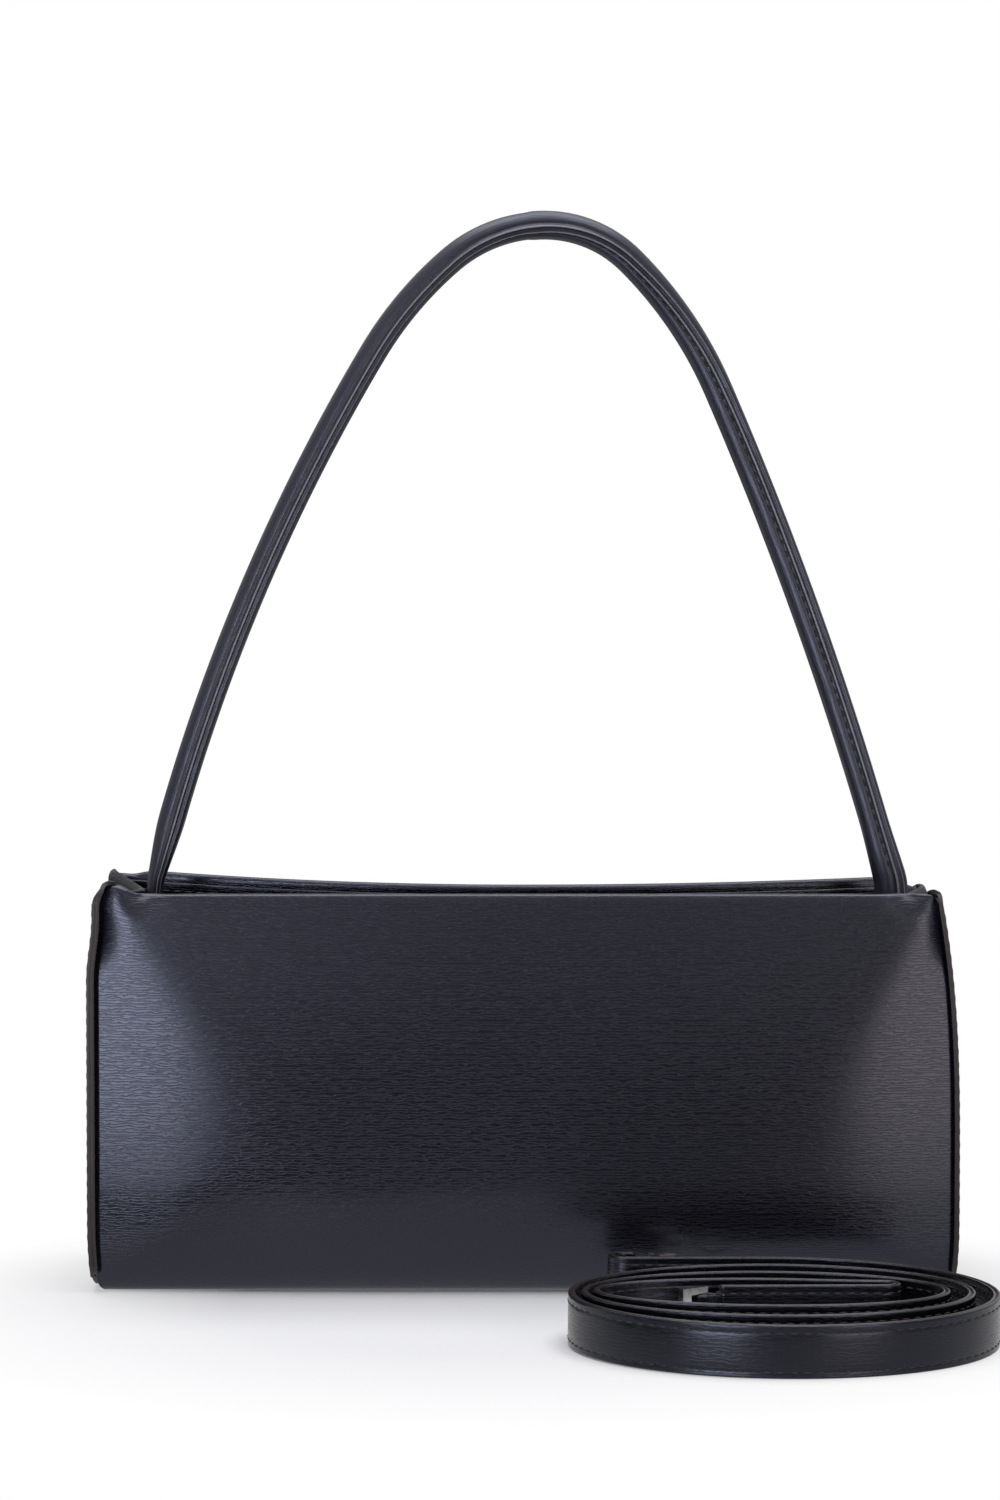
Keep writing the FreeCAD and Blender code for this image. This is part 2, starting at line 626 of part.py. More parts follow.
def clasp_eye(label, spot, turn):
    body = new_body(label)
    frame = sketch_on(body, label + "_frame_outline", "XZ_Plane")
    polygon(frame, box_corners("-" + bar_reach, eye_end, "-" + eye_half, eye_half))
    extrude(body, label + "_frame", "Pad", frame, "eye_sheet")
    window = sketch_on(body, label + "_window_outline", "XZ_Plane")
    clear = "(%s - eye_wall)" % eye_half
    polygon(window, box_corners(bar_reach, window_end, "-" + clear, clear))
    extrude(body, label + "_window", "Pocket", window, "2*eye_sheet")
    boss = sketch_on(body, label + "_boss_ring", "YZ_Plane", window_end)
    circle(boss, "0", "0", "collar_radius")
    extrude(body, label + "_boss", "Pad", boss, "eye_head", midplane=False)
    bore = sketch_on(body, label + "_bore_ring", "YZ_Plane", window_end)
    circle(bore, "0", "0", "shank_radius + shank_fit")
    extrude(body, label + "_bore", "Pocket", bore, "eye_head", midplane=False, reverse=True)
    stand(body, spot, turn)


def clasp_hook(label, spot, turn):
    body = new_body(label)
    ring = sketch_on(body, label + "_bend_ring", "XZ_Plane")
    circle(ring, block_end, "0", "hook_wire")
    bend = sketch_on(body, label + "_bend", "XY_Plane")
    hub = FreeCAD.Vector(value(hook_hub), 0, 0)
    radius = value("hook_radius")
    arc = bend.addGeometry(Part.ArcOfCircle(Part.Circle(hub, FreeCAD.Vector(0, 0, 1), radius),
                                            -math.radians(value("hook_open")), math.pi))
    pin(bend, arc, 3, hook_hub, "0")
    pin(bend, arc, 2, block_end, "0")
    tip_y = "-hook_radius*sin(hook_open)"
    limit(bend, Sketcher.Constraint("DistanceY", -1, 1, arc, 1, value(tip_y)), tip_y)
    pipe(body, label + "_hook_bend", "AdditivePipe", ring, bend)
    block = sketch_on(body, label + "_block_outline", "XY_Plane")
    polygon(block, box_corners(block_start, "%s + hook_wire" % block_end, "-hook_radius", "hook_wire"))
    extrude(body, label + "_block", "Pad", block, "2*block_half")
    slot = sketch_on(body, label + "_slot_outline", "XY_Plane")
    polygon(slot, box_corners("%s + hook_wire/2" % block_start, "%s + 2*hook_wire" % block_end,
                              "-2*hook_radius", "-hook_wire/4"))
    extrude(body, label + "_slot", "Pocket", slot, "2*slot_half")
    for name, start, length, size in (
            ("collar", collar_start, "collar_length", "collar_radius"),
            ("shank", "%s - eye_play - shank_head" % window_end, "eye_head + 3*eye_play + shank_head",
             "shank_radius"),
            ("head", "%s - eye_play - shank_head" % window_end, "shank_head", "head_radius")):
        disc = sketch_on(body, "%s_%s_ring" % (label, name), "YZ_Plane", start)
        circle(disc, "0", "0", size)
        extrude(body, "%s_%s" % (label, name), "Pad", disc, length, midplane=False)
    hole = sketch_on(body, label + "_pin_ring", "XY_Plane")
    circle(hole, gate_axis_x, gate_axis_y, "pin_radius")
    extrude(body, label + "_pin_hole", "Pocket", hole, "4*block_half")
    stand(body, spot, turn)


def clasp_gate(label, spot, turn):
    body = new_body(label)
    tip_x = "(%s + (hook_radius - hook_wire - gate_gap)*cos(hook_open))" % hook_hub
    tip_y = "(-(hook_radius - hook_wire - gate_gap)*sin(hook_open))"
    heel_low = "(%s - gate_wide/2)" % gate_axis_y
    heel_high = "(%s + gate_wide/2)" % gate_axis_y
    blade = sketch_on(body, label + "_blade_outline", "XY_Plane")
    polygon(blade, [(gate_axis_x, heel_low), ("(%s - gate_wide/2)" % tip_x, "(%s - gate_wide/4)" % tip_y),
                    (tip_x, tip_y), ("(%s - gate_wide/2)" % tip_x, "(%s + gate_wide/2)" % tip_y),
                    (gate_axis_x, heel_high)])
    extrude(body, label + "_blade", "Pad", blade, "2*gate_half")
    for name, kind, radius in (("heel", "Pad", "gate_wide/2"), ("hole", "Pocket", "pin_radius + pin_fit")):
        ring = sketch_on(body, "%s_%s_ring" % (label, name), "XY_Plane")
        circle(ring, gate_axis_x, gate_axis_y, radius)
        extrude(body, "%s_%s" % (label, name), kind, ring, "2*gate_half")
    knob = sketch_on(body, label + "_knob_ring", "XY_Plane")
    circle(knob, "%s + gate_wide + hook_wire" % gate_axis_x, "%s - gate_wide/4" % heel_low, "gate_wide/2")
    extrude(body, label + "_knob", "Pad", knob, "2*gate_half")
    stand(body, spot, turn)


def clasp_small_pieces(prefix, spot, turn):
    peg = new_body(prefix + "_clasp_pin")
    ring = sketch_on(peg, prefix + "_peg_ring", "XY_Plane")
    circle(ring, gate_axis_x, gate_axis_y, "pin_radius")
    extrude(peg, prefix + "_peg", "Pad", ring, "2*block_half")
    stand(peg, spot, turn)
    leaf = new_body(prefix + "_clasp_spring")
    outline_of_leaf = sketch_on(leaf, prefix + "_leaf_outline", "XY_Plane")
    low = "(%s + gate_wide/2 + seam_gap)" % gate_axis_y
    polygon(outline_of_leaf, box_corners("%s + hook_wire/2" % block_start, gate_axis_x, low,
                                         "(%s + spring_sheet)" % low))
    extrude(leaf, prefix + "_leaf", "Pad", outline_of_leaf, "2*gate_half")
    stand(leaf, spot, turn)


inner_bar = inner_end + heading(run_angle) * value("tongue_neck")
outer_bar = outer_end + FreeCAD.Vector(value("tongue_neck"), 0, 0)
for prefix, spot, tongue_turn, turn in (("inner", inner_bar, run_angle, value("clasp_turn")),
                                        ("outer", outer_bar, 0, 0)):
    strap_loop(prefix + "_strap_loop", spot, tongue_turn)
    clasp_eye(prefix + "_clasp_eye", spot, turn)
    clasp_hook(prefix + "_clasp_hook", spot, turn)
    clasp_gate(prefix + "_clasp_gate", spot, turn)
    clasp_small_pieces(prefix, spot, turn)
    axis = FreeCAD.Vector(value(gate_axis_x), value(gate_axis_y), 0)
    spin = FreeCAD.Rotation(FreeCAD.Vector(0, 0, 1), turn)
    print(prefix, "bar", spot, "gate axis", spot + spin.multVec(axis))
for side in ("-", ""):
    print("ring axis x", value(fold_x(side, ring_height, "(%s + %s)" % (loop_seat, loop_radius))),
          "z", value(ring_height))


# Every piece has to be sound before any file is written

doc.recompute()
faults = [thing.Label for thing in doc.Objects if {"Invalid", "Error"} & set(thing.State)]
for piece in sub_parts:
    if piece.Shape.isNull() or not piece.Shape.isValid() or len(piece.Shape.Solids) != 1:
        faults.append(piece.Label)
if faults:
    raise RuntimeError("not sound: " + ", ".join(faults))
os.makedirs("parts", exist_ok=True)
for piece in sub_parts:
    piece.Shape.exportStep("parts/%s.step" % piece.Label)
print(len(sub_parts), "pieces")
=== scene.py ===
import bpy
from math import asin, atan2, copysign, cos, exp, hypot, log, pi, radians, sin, sqrt
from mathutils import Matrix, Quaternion, Vector


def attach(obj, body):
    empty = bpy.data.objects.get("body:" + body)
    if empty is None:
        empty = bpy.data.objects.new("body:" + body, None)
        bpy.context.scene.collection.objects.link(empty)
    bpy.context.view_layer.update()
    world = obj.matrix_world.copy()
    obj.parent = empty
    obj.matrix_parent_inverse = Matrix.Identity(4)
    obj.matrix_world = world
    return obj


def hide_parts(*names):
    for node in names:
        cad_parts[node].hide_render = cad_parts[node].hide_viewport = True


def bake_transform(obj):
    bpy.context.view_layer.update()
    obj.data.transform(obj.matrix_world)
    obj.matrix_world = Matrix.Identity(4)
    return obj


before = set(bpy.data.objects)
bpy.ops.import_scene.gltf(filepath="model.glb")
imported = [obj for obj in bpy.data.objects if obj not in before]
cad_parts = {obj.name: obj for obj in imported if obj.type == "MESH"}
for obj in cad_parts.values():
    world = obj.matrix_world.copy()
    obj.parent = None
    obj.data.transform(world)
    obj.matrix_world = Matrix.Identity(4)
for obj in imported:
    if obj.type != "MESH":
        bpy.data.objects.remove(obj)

# Baguette bag with a coiled strap. Sizes are in millimetres until a mesh is made.
mm = 0.001
scene = bpy.context.scene
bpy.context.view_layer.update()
print("stage: frame loaded")


def linear(hexText):
    parts = [int(hexText[i:i + 2], 16) / 255 for i in (1, 3, 5)]
    return [c / 12.92 if c <= 0.04045 else ((c + 0.055) / 1.055) ** 2.4 for c in parts] + [1.0]


def addNode(tree, kind, settings=None, links=None):
    # A shader node goes by its short name. A link comes from a socket, or from a node's first output.
    node = tree.nodes.new("ShaderNode" + kind if hasattr(bpy.types, "ShaderNode" + kind) else kind)
    for key, value in (settings or {}).items():
        if isinstance(key, int) or key in node.inputs:
            node.inputs[key].default_value = value
        else:
            setattr(node, key, value)
    for key, source in (links or {}).items():
        socket = source.outputs[0] if isinstance(source, bpy.types.Node) else source
        tree.links.new(socket, node.inputs[key])
    return node


def addObject(name, data):
    made = bpy.data.objects.new(name, data)
    scene.collection.objects.link(made)
    return made


def clamp(t):
    return max(0.0, min(1.0, t))


def smooth(t):
    t = clamp(t)
    return t * t * (3 - 2 * t)


def climb(t, start, over):
    return clamp((t - start) / over)


def ramp(t, start, over):
    return smooth((t - start) / over)


def bell(t, wide):
    return exp(-(t / wide) ** 2)


def mixed(a, b, t):
    return a + (b - a) * t


# Materials

def newMaterial(name, space):
    material = bpy.data.materials.new(name)
    material.use_nodes = True
    tree = material.node_tree
    tree.nodes.clear()
    return material, tree, addNode(tree, "TexCoord").outputs[space]


def perSize(wide, high):
    # The texture scale that makes one step of a pattern this large
    return 1 / (wide * mm), 1 / (high * mm), 1


def tones(look):
    return {"data_type": "RGBA", 6: linear(look["dark"]), 7: linear(look["light"])}


def grainedLeather(name, look):
    # Polyurethane leather with a fine crosswise wrinkle: thin bright ridges, dark valleys, soft sheen
    material, tree, coords = newMaterial(name, "UV")
    stretched = addNode(tree, "Mapping", {"Scale": perSize(*look["wrinkle"])}, {"Vector": coords})
    wrinkle = addNode(tree, "TexWave",
                      {"bands_direction": "Y", "Scale": 0.314, "Distortion": 9.0, "Detail": 3.0,
                       "Detail Scale": 2.4, "Detail Roughness": 0.55}, {"Vector": stretched})
    ridge = addNode(tree, "MapRange", {"From Min": 0.02, "From Max": 0.55}, {"Value": wrinkle.outputs[1]})
    fine = addNode(tree, "Mapping", {"Scale": perSize(0.9, 0.55)}, {"Vector": coords})
    pores = addNode(tree, "TexNoise", {"Scale": 1.0, "Detail": 1.0}, {"Vector": fine})
    wide = addNode(tree, "Mapping", {"Scale": perSize(55, 40)}, {"Vector": coords})
    patch = addNode(tree, "TexNoise", {"Scale": 1.0, "Detail": 2.0}, {"Vector": wide})
    tone = addNode(tree, "MapRange", {"From Min": 0.3, "From Max": 0.7}, {"Value": patch})
    colour = addNode(tree, "Mix", tones(look), {0: tone})
    glossy, dull = look["rough"]
    polish = addNode(tree, "MapRange", {"To Min": dull, "To Max": glossy}, {"Value": ridge})
    low = addNode(tree, "Bump", {"Strength": look["bump"], "Distance": 0.15 * mm}, {"Height": ridge})
    skin = addNode(tree, "Bump", {"Strength": look["bump"] * 0.5, "Distance": 0.06 * mm},
                   {"Height": pores, "Normal": low})
    shader = addNode(tree, "BsdfPrincipled",
                     {"IOR": 1.5, "Specular IOR Level": look["specular"], "Specular Tint": linear("#dde2ff"),
                      "Coat Weight": look["coat"], "Coat Roughness": 0.25},
                     {"Base Color": colour.outputs[2], "Roughness": polish, "Normal": skin})
    addNode(tree, "OutputMaterial", links={"Surface": shader})
    return material


def twoTone(tree, look, pattern, relief, settings, links=None):
    # One pattern gives both tones and the relief, stated by its strength and its height
    colour = addNode(tree, "Mix", tones(look), {0: pattern})
    strength, height = relief
    bump = addNode(tree, "Bump", {"Strength": strength, "Distance": height * mm}, {"Height": pattern})
    shader = addNode(tree, "BsdfPrincipled", settings,
                     {"Base Color": colour.outputs[2], "Normal": bump, **(links or {})})
    addNode(tree, "OutputMaterial", links={"Surface": shader})


def paintedEdge(name, look):
    # Cut leather edge under brown-black edge paint: satin, slightly uneven. The same two-tone paint also
    # gives the pale painted highlight on the handle's lip crests
    material, tree, coords = newMaterial(name, "Object")
    sized = addNode(tree, "Mapping", {"Scale": (1 / (2.5 * mm),) * 3}, {"Vector": coords})
    uneven = addNode(tree, "TexNoise", {"Scale": 1.0, "Detail": 3.0}, {"Vector": sized})
    twoTone(tree, look, uneven, (0.35, 0.2),
            {"IOR": 1.5, "Roughness": look["rough"], "Specular IOR Level": look["specular"]})
    return material


def polyesterThread(name, look):
    # Twisted filament thread: a soft lustre with fine slanting plies
    material, tree, coords = newMaterial(name, "Object")
    plies = addNode(tree, "TexWave",
                    {"Scale": 1 / (look["ply"] * mm) / 6.28, "Distortion": 1.0,
                     "bands_direction": "DIAGONAL"}, {"Vector": coords})
    twoTone(tree, look, plies.outputs[1], (0.4, 0.1), {"IOR": 1.5, "Roughness": 0.5})
    return material


def twillLining(name, look):
    # Woven polyester lining: diagonal ribs, drawn at 0.8 mm so that they show
    material, tree, coords = newMaterial(name, "UV")
    ribs = addNode(tree, "TexWave",
                   {"Scale": 1 / (look["rib"] * mm) / 6.28 * 2, "Distortion": 0.4,
                    "bands_direction": "DIAGONAL"}, {"Vector": coords})
    twoTone(tree, look, ribs.outputs[1], (0.4, 0.15), {"IOR": 1.5, "Roughness": 0.7, "Sheen Weight": 0.25})
    return material


def platedNickel(name, look):
    # Zinc casting, tumbled and nickel plated: bright, with a faint ripple and small wear
    material, tree, coords = newMaterial(name, "Object")
    sized = addNode(tree, "Mapping", {"Scale": (1 / (3 * mm),) * 3}, {"Vector": coords})
    ripple = addNode(tree, "TexNoise", {"Scale": 1.0, "Detail": 3.0}, {"Vector": sized})
    bright, worn = look["rough"]
    haze = addNode(tree, "MapRange",
                   {"From Min": 0.3, "From Max": 0.7, "To Min": bright, "To Max": worn}, {"Value": ripple})
    twoTone(tree, look, ripple, (0.08, 0.2), {"Metallic": 1.0}, {"Roughness": haze})
    return material


leather = grainedLeather("grainedPuLeather", {
    "wrinkle": (3.0, 0.85), "dark": "#08080c", "light": "#0e0e14", "rough": (0.22, 0.33), "bump": 0.24,
    "specular": 0.6, "coat": 0.12})
sideLeather = grainedLeather("sidePuLeather", {
    "wrinkle": (3.2, 1.0), "dark": "#08080c", "light": "#0e0e14", "rough": (0.3, 0.42), "bump": 0.34,
    "specular": 0.14, "coat": 0.0})
rolledLeather = grainedLeather("rolledPuLeather", {
    "wrinkle": (9.0, 1.5), "dark": "#17171c", "light": "#212129", "rough": (0.36, 0.5), "bump": 0.2,
    "specular": 0.6, "coat": 0.15})
strapLeather = grainedLeather("strapPuLeather", {
    "wrinkle": (3.6, 1.1), "dark": "#060609", "light": "#0a0a0e", "rough": (0.24, 0.34), "bump": 0.14,
    "specular": 0.44, "coat": 0.1})
edge = paintedEdge("edgePaint", {"dark": "#201c1e", "light": "#312a2c", "rough": 0.45, "specular": 0.4})
strapEdge = paintedEdge("strapEdgePaint", {
    "dark": "#221c1e", "light": "#3a3132", "rough": 0.32, "specular": 0.5})
# Pale painted highlight on the handle's lip crests, standing in for the light their ridges catch
lipHighlightPaint = paintedEdge("paintedLipHighlight", {
    "dark": "#5c5d66", "light": "#7c7d86", "rough": 0.42, "specular": 0.5})
thread = polyesterThread("polyesterThread", {"ply": 0.5, "dark": "#070708", "light": "#151518"})
lining = twillLining("twillLining", {"rib": 0.8, "dark": "#0d0d0f", "light": "#19191c"})
nickel = platedNickel("platedNickel", {"dark": "#dcdbd9", "light": "#efeeec", "rough": (0.16, 0.3)})
print("stage: materials")


# Mesh helpers

def gridPiece(name, rows, materials, tube=False, accent=(), flip=False):
    # Each cell is a point and its place on the flat sheet. A tube's last column only closes the sheet, and
    # its caps take the last material. Accent columns take the second one.
    count = len(rows[0]) - int(tube)
    points = [Vector(point) * mm for row in rows for point, _ in row[:count]]
    faces, corners, marks = [], [], []
    for i in range(len(rows) - 1):
        low, high = rows[i], rows[i + 1]
        for j in range(len(low) - 1):
            k = (j + 1) % count
            faces.append([i * count + j, i * count + k, (i + 1) * count + k, (i + 1) * count + j])
            corners.append([low[j][1], low[j + 1][1], high[j + 1][1], high[j][1]])
            marks.append(int(j in accent))
    if tube:
        start = (len(rows) - 1) * count
        faces += [list(range(count))[::-1], list(range(start, start + count))]
        corners += [[mark for _, mark in rows[0][:count]][::-1], [mark for _, mark in rows[-1][:count]]]
        marks += [len(materials) - 1] * 2
    if flip:
        faces, corners = ([around[::-1] for around in every] for every in (faces, corners))
    mesh = bpy.data.meshes.new(name)
    mesh.from_pydata(points, [], faces)
    layer = mesh.uv_layers.new(name="UVMap")
    for polygon, uv, mark in zip(mesh.polygons, corners, marks):
        polygon.use_smooth = True
        polygon.material_index = mark
        for loop, spot in zip(polygon.loop_indices, uv):
            layer.data[loop].uv = (spot[0] * mm, spot[1] * mm)
    for material in materials:
        mesh.materials.append(material)
    return addObject(name, mesh)


def applyModifiers(piece):
    graph = bpy.context.evaluated_depsgraph_get()
    mesh = bpy.data.meshes.new_from_object(piece.evaluated_get(graph))
    piece.modifiers.clear()
    old = piece.data
    piece.data = mesh
    mesh.name = piece.name
    bpy.data.meshes.remove(old)
    return piece


def thicken(piece, sheet, rim=0, bevel=0.0):
    solid = piece.modifiers.new("sheet", "SOLIDIFY")
    solid.thickness = sheet * mm
    solid.offset = -1
    solid.material_offset_rim = rim
    if bevel:
        soft = piece.modifiers.new("softEdge", "BEVEL")
        soft.width = bevel * mm
        soft.segments = 2
        soft.limit_method = "ANGLE"
        soft.angle_limit = radians(50)
    return applyModifiers(piece)


def place(piece, body, slot, *nodes):
    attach(piece, body)
    if nodes:
        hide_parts(*nodes)


def heading(spots, i):
    return (spots[min(i + 1, len(spots) - 1)] - spots[max(i - 1, 0)]).normalized()


def arcPoints(hub, radius, start, end, count=24):
    angles = [mixed(start, end, i / count) for i in range(count + 1)]
    return [Vector((hub[0] + radius * cos(a), hub[1] + radius * sin(a))) for a in angles]


def sweepBand(name, spots, wideWay, half, thick, materials):
    # A flat leather strip with rounded edges along a bent path; half gives half its width at each spot
    curl, count = 0.42 * thick, 6
    grid, walked = [], 0.0
    for i, spot in enumerate(spots):
        along = heading(spots, i)
        out = along.cross(wideWay).normalized()
        walked += (spot - spots[i - 1]).length if i else 0.0
        ring = []
        for turn, (a, b) in enumerate(((1, 1), (-1, 1), (-1, -1), (1, -1))):
            for k in range(count + 1):
                angle = radians(90 * turn + 90 * k / count)
                across = a * (half[i] - curl) + curl * cos(angle)
                up = b * (thick / 2 - curl) + curl * sin(angle)
                ring.append(tuple(spot + wideWay * across + out * up))
        ring.append(ring[0])
        grid.append([(point, (walked, 1.4 * k)) for k, point in enumerate(ring)])
    return gridPiece(name, grid, materials, tube=True)


# Bag body. A ramp or climb says where a form starts and how far it takes to be full.

inwardWay = {"front": 1, "back": -1}
bag = {"half": 127.0, "rim": 121.0, "foot": 35.0, "frontRim": 33.0, "leather": 1.3, "wall": 3.4,
       "hemFoot": 118.2, "hemNarrow": 0.972, "roll": {"front": (6.0, 34.0), "back": (12.0, 18.0)},
       "rollDip": 0.7, "bulge": 6.2, "facets": (70.0, 62.0, 38.0, 90.0), "lowLeft": 62.0,
       "lowLeftRamp": (50.0, 45.0), "mitre": 14, "backRimEnd": 32.0, "backRimMid": 15.0, "backBulge": 1.6,
       "backMid": 119.0, "backLeft": 122.4, "backRight": 120.2, "backDrop": 3.0, "backDropFrom": 112.0}
ends = {"left": 1.012, "leftLean": 0.013, "leftRamp": (95.0, 19.0), "tip": (0.014, 0.004),
        "tipRamp": (118.5, 4.5), "right": 1.026, "rightLean": 0.044, "rightRamp": (42.0, 78.0),
        "taper": 0.004, "taperRamp": (-18.0, 14.0), "round": 0.022, "roundHeight": 5.0}
seam = {"left": {"dent": (117.5, 1.8), "corner": 115.5, "groove": (126.3, 0.7)},
        "right": {"dent": (120.0, 1.3), "corner": 119.0, "groove": (126.5, 0.5)},
        "dentRamp": (94.0, 14.0), "cornerDeep": 2.3, "cornerWide": 4.6, "cornerRamp": (113.5, 7.0),
        "dip": 0.7, "footRamp": (1.0, 6.0), "topRamp": (100.0, 16.0), "topLoss": 0.6}
corners = {"front": 2.6, "frontRamp": (118.0, 8.0), "back": -1.5, "backRamp": (116.0, 8.0),
           "height": (105.0, 16.0)}
flange = {"out": 2.2, "footRamp": (4.5, 3.5), "topRamp": (117.0, 6.0), "lieOver": 0.6}


def cornerRound(z):
    short = clamp(1 - z / ends["roundHeight"])
    taper = ends["taper"] * ramp(-z, *ends["taperRamp"])
    return taper + ends["round"] * (1 - sqrt(1 - short * short))


def endScale(x, z, rear=0.0):
    # The ends lean in towards the mouth, more on the right, and the bottom corners are rounded
    if x < 0:
        front, back = ends["tip"]
        tip = mixed(front, back, rear) * ramp(z, *ends["tipRamp"])
        lean = ends["leftLean"] * ramp(z, *ends["leftRamp"])
        return ends["left"] - cornerRound(z) - lean - tip
    return ends["right"] - ends["rightLean"] * climb(z, *ends["rightRamp"]) ** 2.6 - cornerRound(z)


def backTop(x):
    # The back rim hangs in the middle, stands up at the left end and rounds off at the right one
    end = bag["backLeft"] if x < 0 else bag["backRight"]
    start = bag["backDropFrom"]
    drop = bag["backDrop"] * clamp((x - start) / (bag["half"] - start)) ** 2.2
    return mixed(bag["backMid"], end, clamp(abs(x) / bag["half"]) ** 2) - drop


def pillow(x, z):
    # The padded front rises from each edge in a soft facet, and the facets meet in mitred corners
    left, right, low, high = bag["facets"]
    low = mixed(low, bag["lowLeft"], ramp(-x, *bag["lowLeftRamp"]))
    reaches = zip((bag["half"] + x, bag["half"] - x, z, bag["rim"] - z), (left, right, low, high))
    rises = [1 - (1 - clamp(away / reach)) ** 2 for away, reach in reaches]
    return -log(sum(exp(-bag["mitre"] * rise) for rise in rises)) / bag["mitre"]


def wallY(side, x, z, flat=False):
    if side == "front":
        stand = 0.0 if flat else bag["bulge"] * pillow(x, z)
        return -mixed(bag["foot"], bag["frontRim"], z / bag["rim"]) - stand
    share = clamp(abs(x) / bag["half"])
    belly = 0.0 if flat else sin(pi * clamp(z / bag["rim"]) ** 0.9)
    rim = mixed(bag["backRimMid"], bag["backRimEnd"], share ** 2)
    return mixed(bag["foot"], rim, z / backTop(x)) + bag["backBulge"] * (1 - share ** 2.5) * belly


def seamInset(x, z, side="front"):
    # The panel dips into the side seam, and its top corners roll back towards the tucked gussets
    end = seam["left" if x < 0 else "right"]
    begin, deep = end["dent"]
    dent = deep * clamp((abs(x) - begin) / (bag["half"] - begin)) ** 2 * ramp(z, *seam["dentRamp"])
    softCorner = seam["cornerDeep"] * bell(abs(x) - end["corner"], seam["cornerWide"])
    softCorner *= climb(z, *seam["cornerRamp"]) ** 2.2
    fade = ramp(z, *seam["footRamp"]) * (1 - seam["topLoss"] * ramp(z, *seam["topRamp"]))
    groove = seam["dip"] * ramp(abs(x), *end["groove"]) * fade
    return groove + (dent + softCorner if side == "front" else 0.0)


def cornerLift(side, x, z):
    # The front left corner stands up over the folded gusset; the back rim sinks a little at its ends
    rise = corners[side] * ramp(-x if side == "front" else abs(x), *corners[side + "Ramp"])
    return rise * climb(z, *corners["height"])


# From inside the mouth up and over the rim: height, and how far in from the outside
hem = [(116.0, 3.4), (118.2, 3.4), (119.8, 3.3), (120.6, 2.9), (121.0, 2.1), (121.05, 1.2), (120.85, 0.45),
       (120.4, 0.1), (119.4, 0.0)]


def stations(top, counts, inset):
    # Down the front, round the bottom, up the back: what a row is on, where along it, how far in it lies
    fall, frontRoll, floor, backRoll = counts
    frontFoot, backFoot = (bag["roll"][side][1] for side in inwardWay)
    rows = [("front", mixed(top, frontFoot, i / fall)) for i in range(fall + 1)]
    rows += [("frontRoll", 90 * i / frontRoll) for i in range(1, frontRoll + 1)]
    rows += [("floor", i / floor) for i in range(1, floor)]
    rows += [("backRoll", 90 - 90 * i / backRoll) for i in range(backRoll)]
    rows += [("back", mixed(backFoot, top, i / fall)) for i in range(fall + 1)]
    return [(kind, where, inset) for kind, where in rows]


def rollPoint(side, x, angle, flat):
    depth, height = bag["roll"][side]
    turn = radians(angle)
    inward = inwardWay[side]
    z = height * (1 - sin(turn))
    y = wallY(side, x, z, flat) + inward * depth * (1 - cos(turn))
    return y, z, Vector((0, inward * cos(turn), sin(turn)))


def wrapPoint(x, row, flat=False):
    kind, where, inset = row
    if kind in inwardWay:
        z = where if kind == "front" else where * backTop(x) / bag["rim"]
        y, inward = wallY(kind, x, min(z, bag["rim"]), flat), Vector((0, inwardWay[kind], 0))
    elif kind == "floor":
        front, back = (rollPoint(side, x, 90, flat)[0] for side in inwardWay)
        y, z, inward = mixed(front, back, where), 0.0, Vector((0, 0, 1))
    else:
        y, z, inward = rollPoint("front" if kind == "frontRoll" else "back", x, where, flat)
    return Vector((x, y, z)), inward, inset


def flangeRise(z):
    return ramp(z, *flange["footRamp"]) * (1 - ramp(z, *flange["topRamp"]))


def wrapColumns():
    # Half of the panel from the middle out, closer together at its end, then the strip along the seam
    panel = [112.0 * i / 50 for i in range(51)] + [112 + i for i in range(1, 12)]
    panel += [123.4 + 0.4 * i for i in range(10)]
    strip = [(127.15, 0.2), (127.25, 0.45), (127.3, 0.7), (127.3, 0.88), (127.3, 1.0)]
    half = [(x, 0.0) for x in panel] + strip
    return [(-x, share) for x, share in reversed(half[1:])] + half


def buildWrap():
    grid, walked, last = [], 0.0, None
    rows = [("front", *row) for row in hem] + stations(bag["hemFoot"], (40, 20, 14, 14), 0.0)
    for row in rows + [("back", *row) for row in reversed(hem)]:
        kind = row[0]
        middle = wrapPoint(0.0, row)[0]
        walked += (middle - last).length if last else 0.0
        last = middle
        line = []
        for x, share in wrapColumns():
            spot, inward, inset = wrapPoint(x, row)
            out = 1 - inset / bag["wall"]
            dip = seamInset(x, spot.z, kind) * (1 if kind in inwardWay else bag["rollDip"])
            rise = flangeRise(spot.z) * out
            stand = dip * out - share * (dip * out + flange["out"] * rise)
            spot = spot + inward * (stand + inset)
            # Where the strip lies down it runs on sideways
            spot.x += copysign(flange["lieOver"] * share * (1 - rise), x)
            if kind in inwardWay:
                spot.z += cornerLift(kind, x, spot.z)
            wide = spot.x * endScale(x, spot.z, kind == "back") * mixed(bag["hemNarrow"], 1, out)
            line.append(((wide, spot.y, spot.z), (x + copysign(3.0 * share, x), walked)))
        grid.append(line)
    wrap = gridPiece("outerWrap", grid, [leather, edge], flip=True)
    return thicken(wrap, bag["leather"], rim=1, bevel=0.22)


wrap = buildWrap()
place(wrap, "bag", "leather", "outer_wrap")
print("stage: outer wrap")


# Gussets: side panels that tuck inwards at the mouth. The hem is a soft roll.

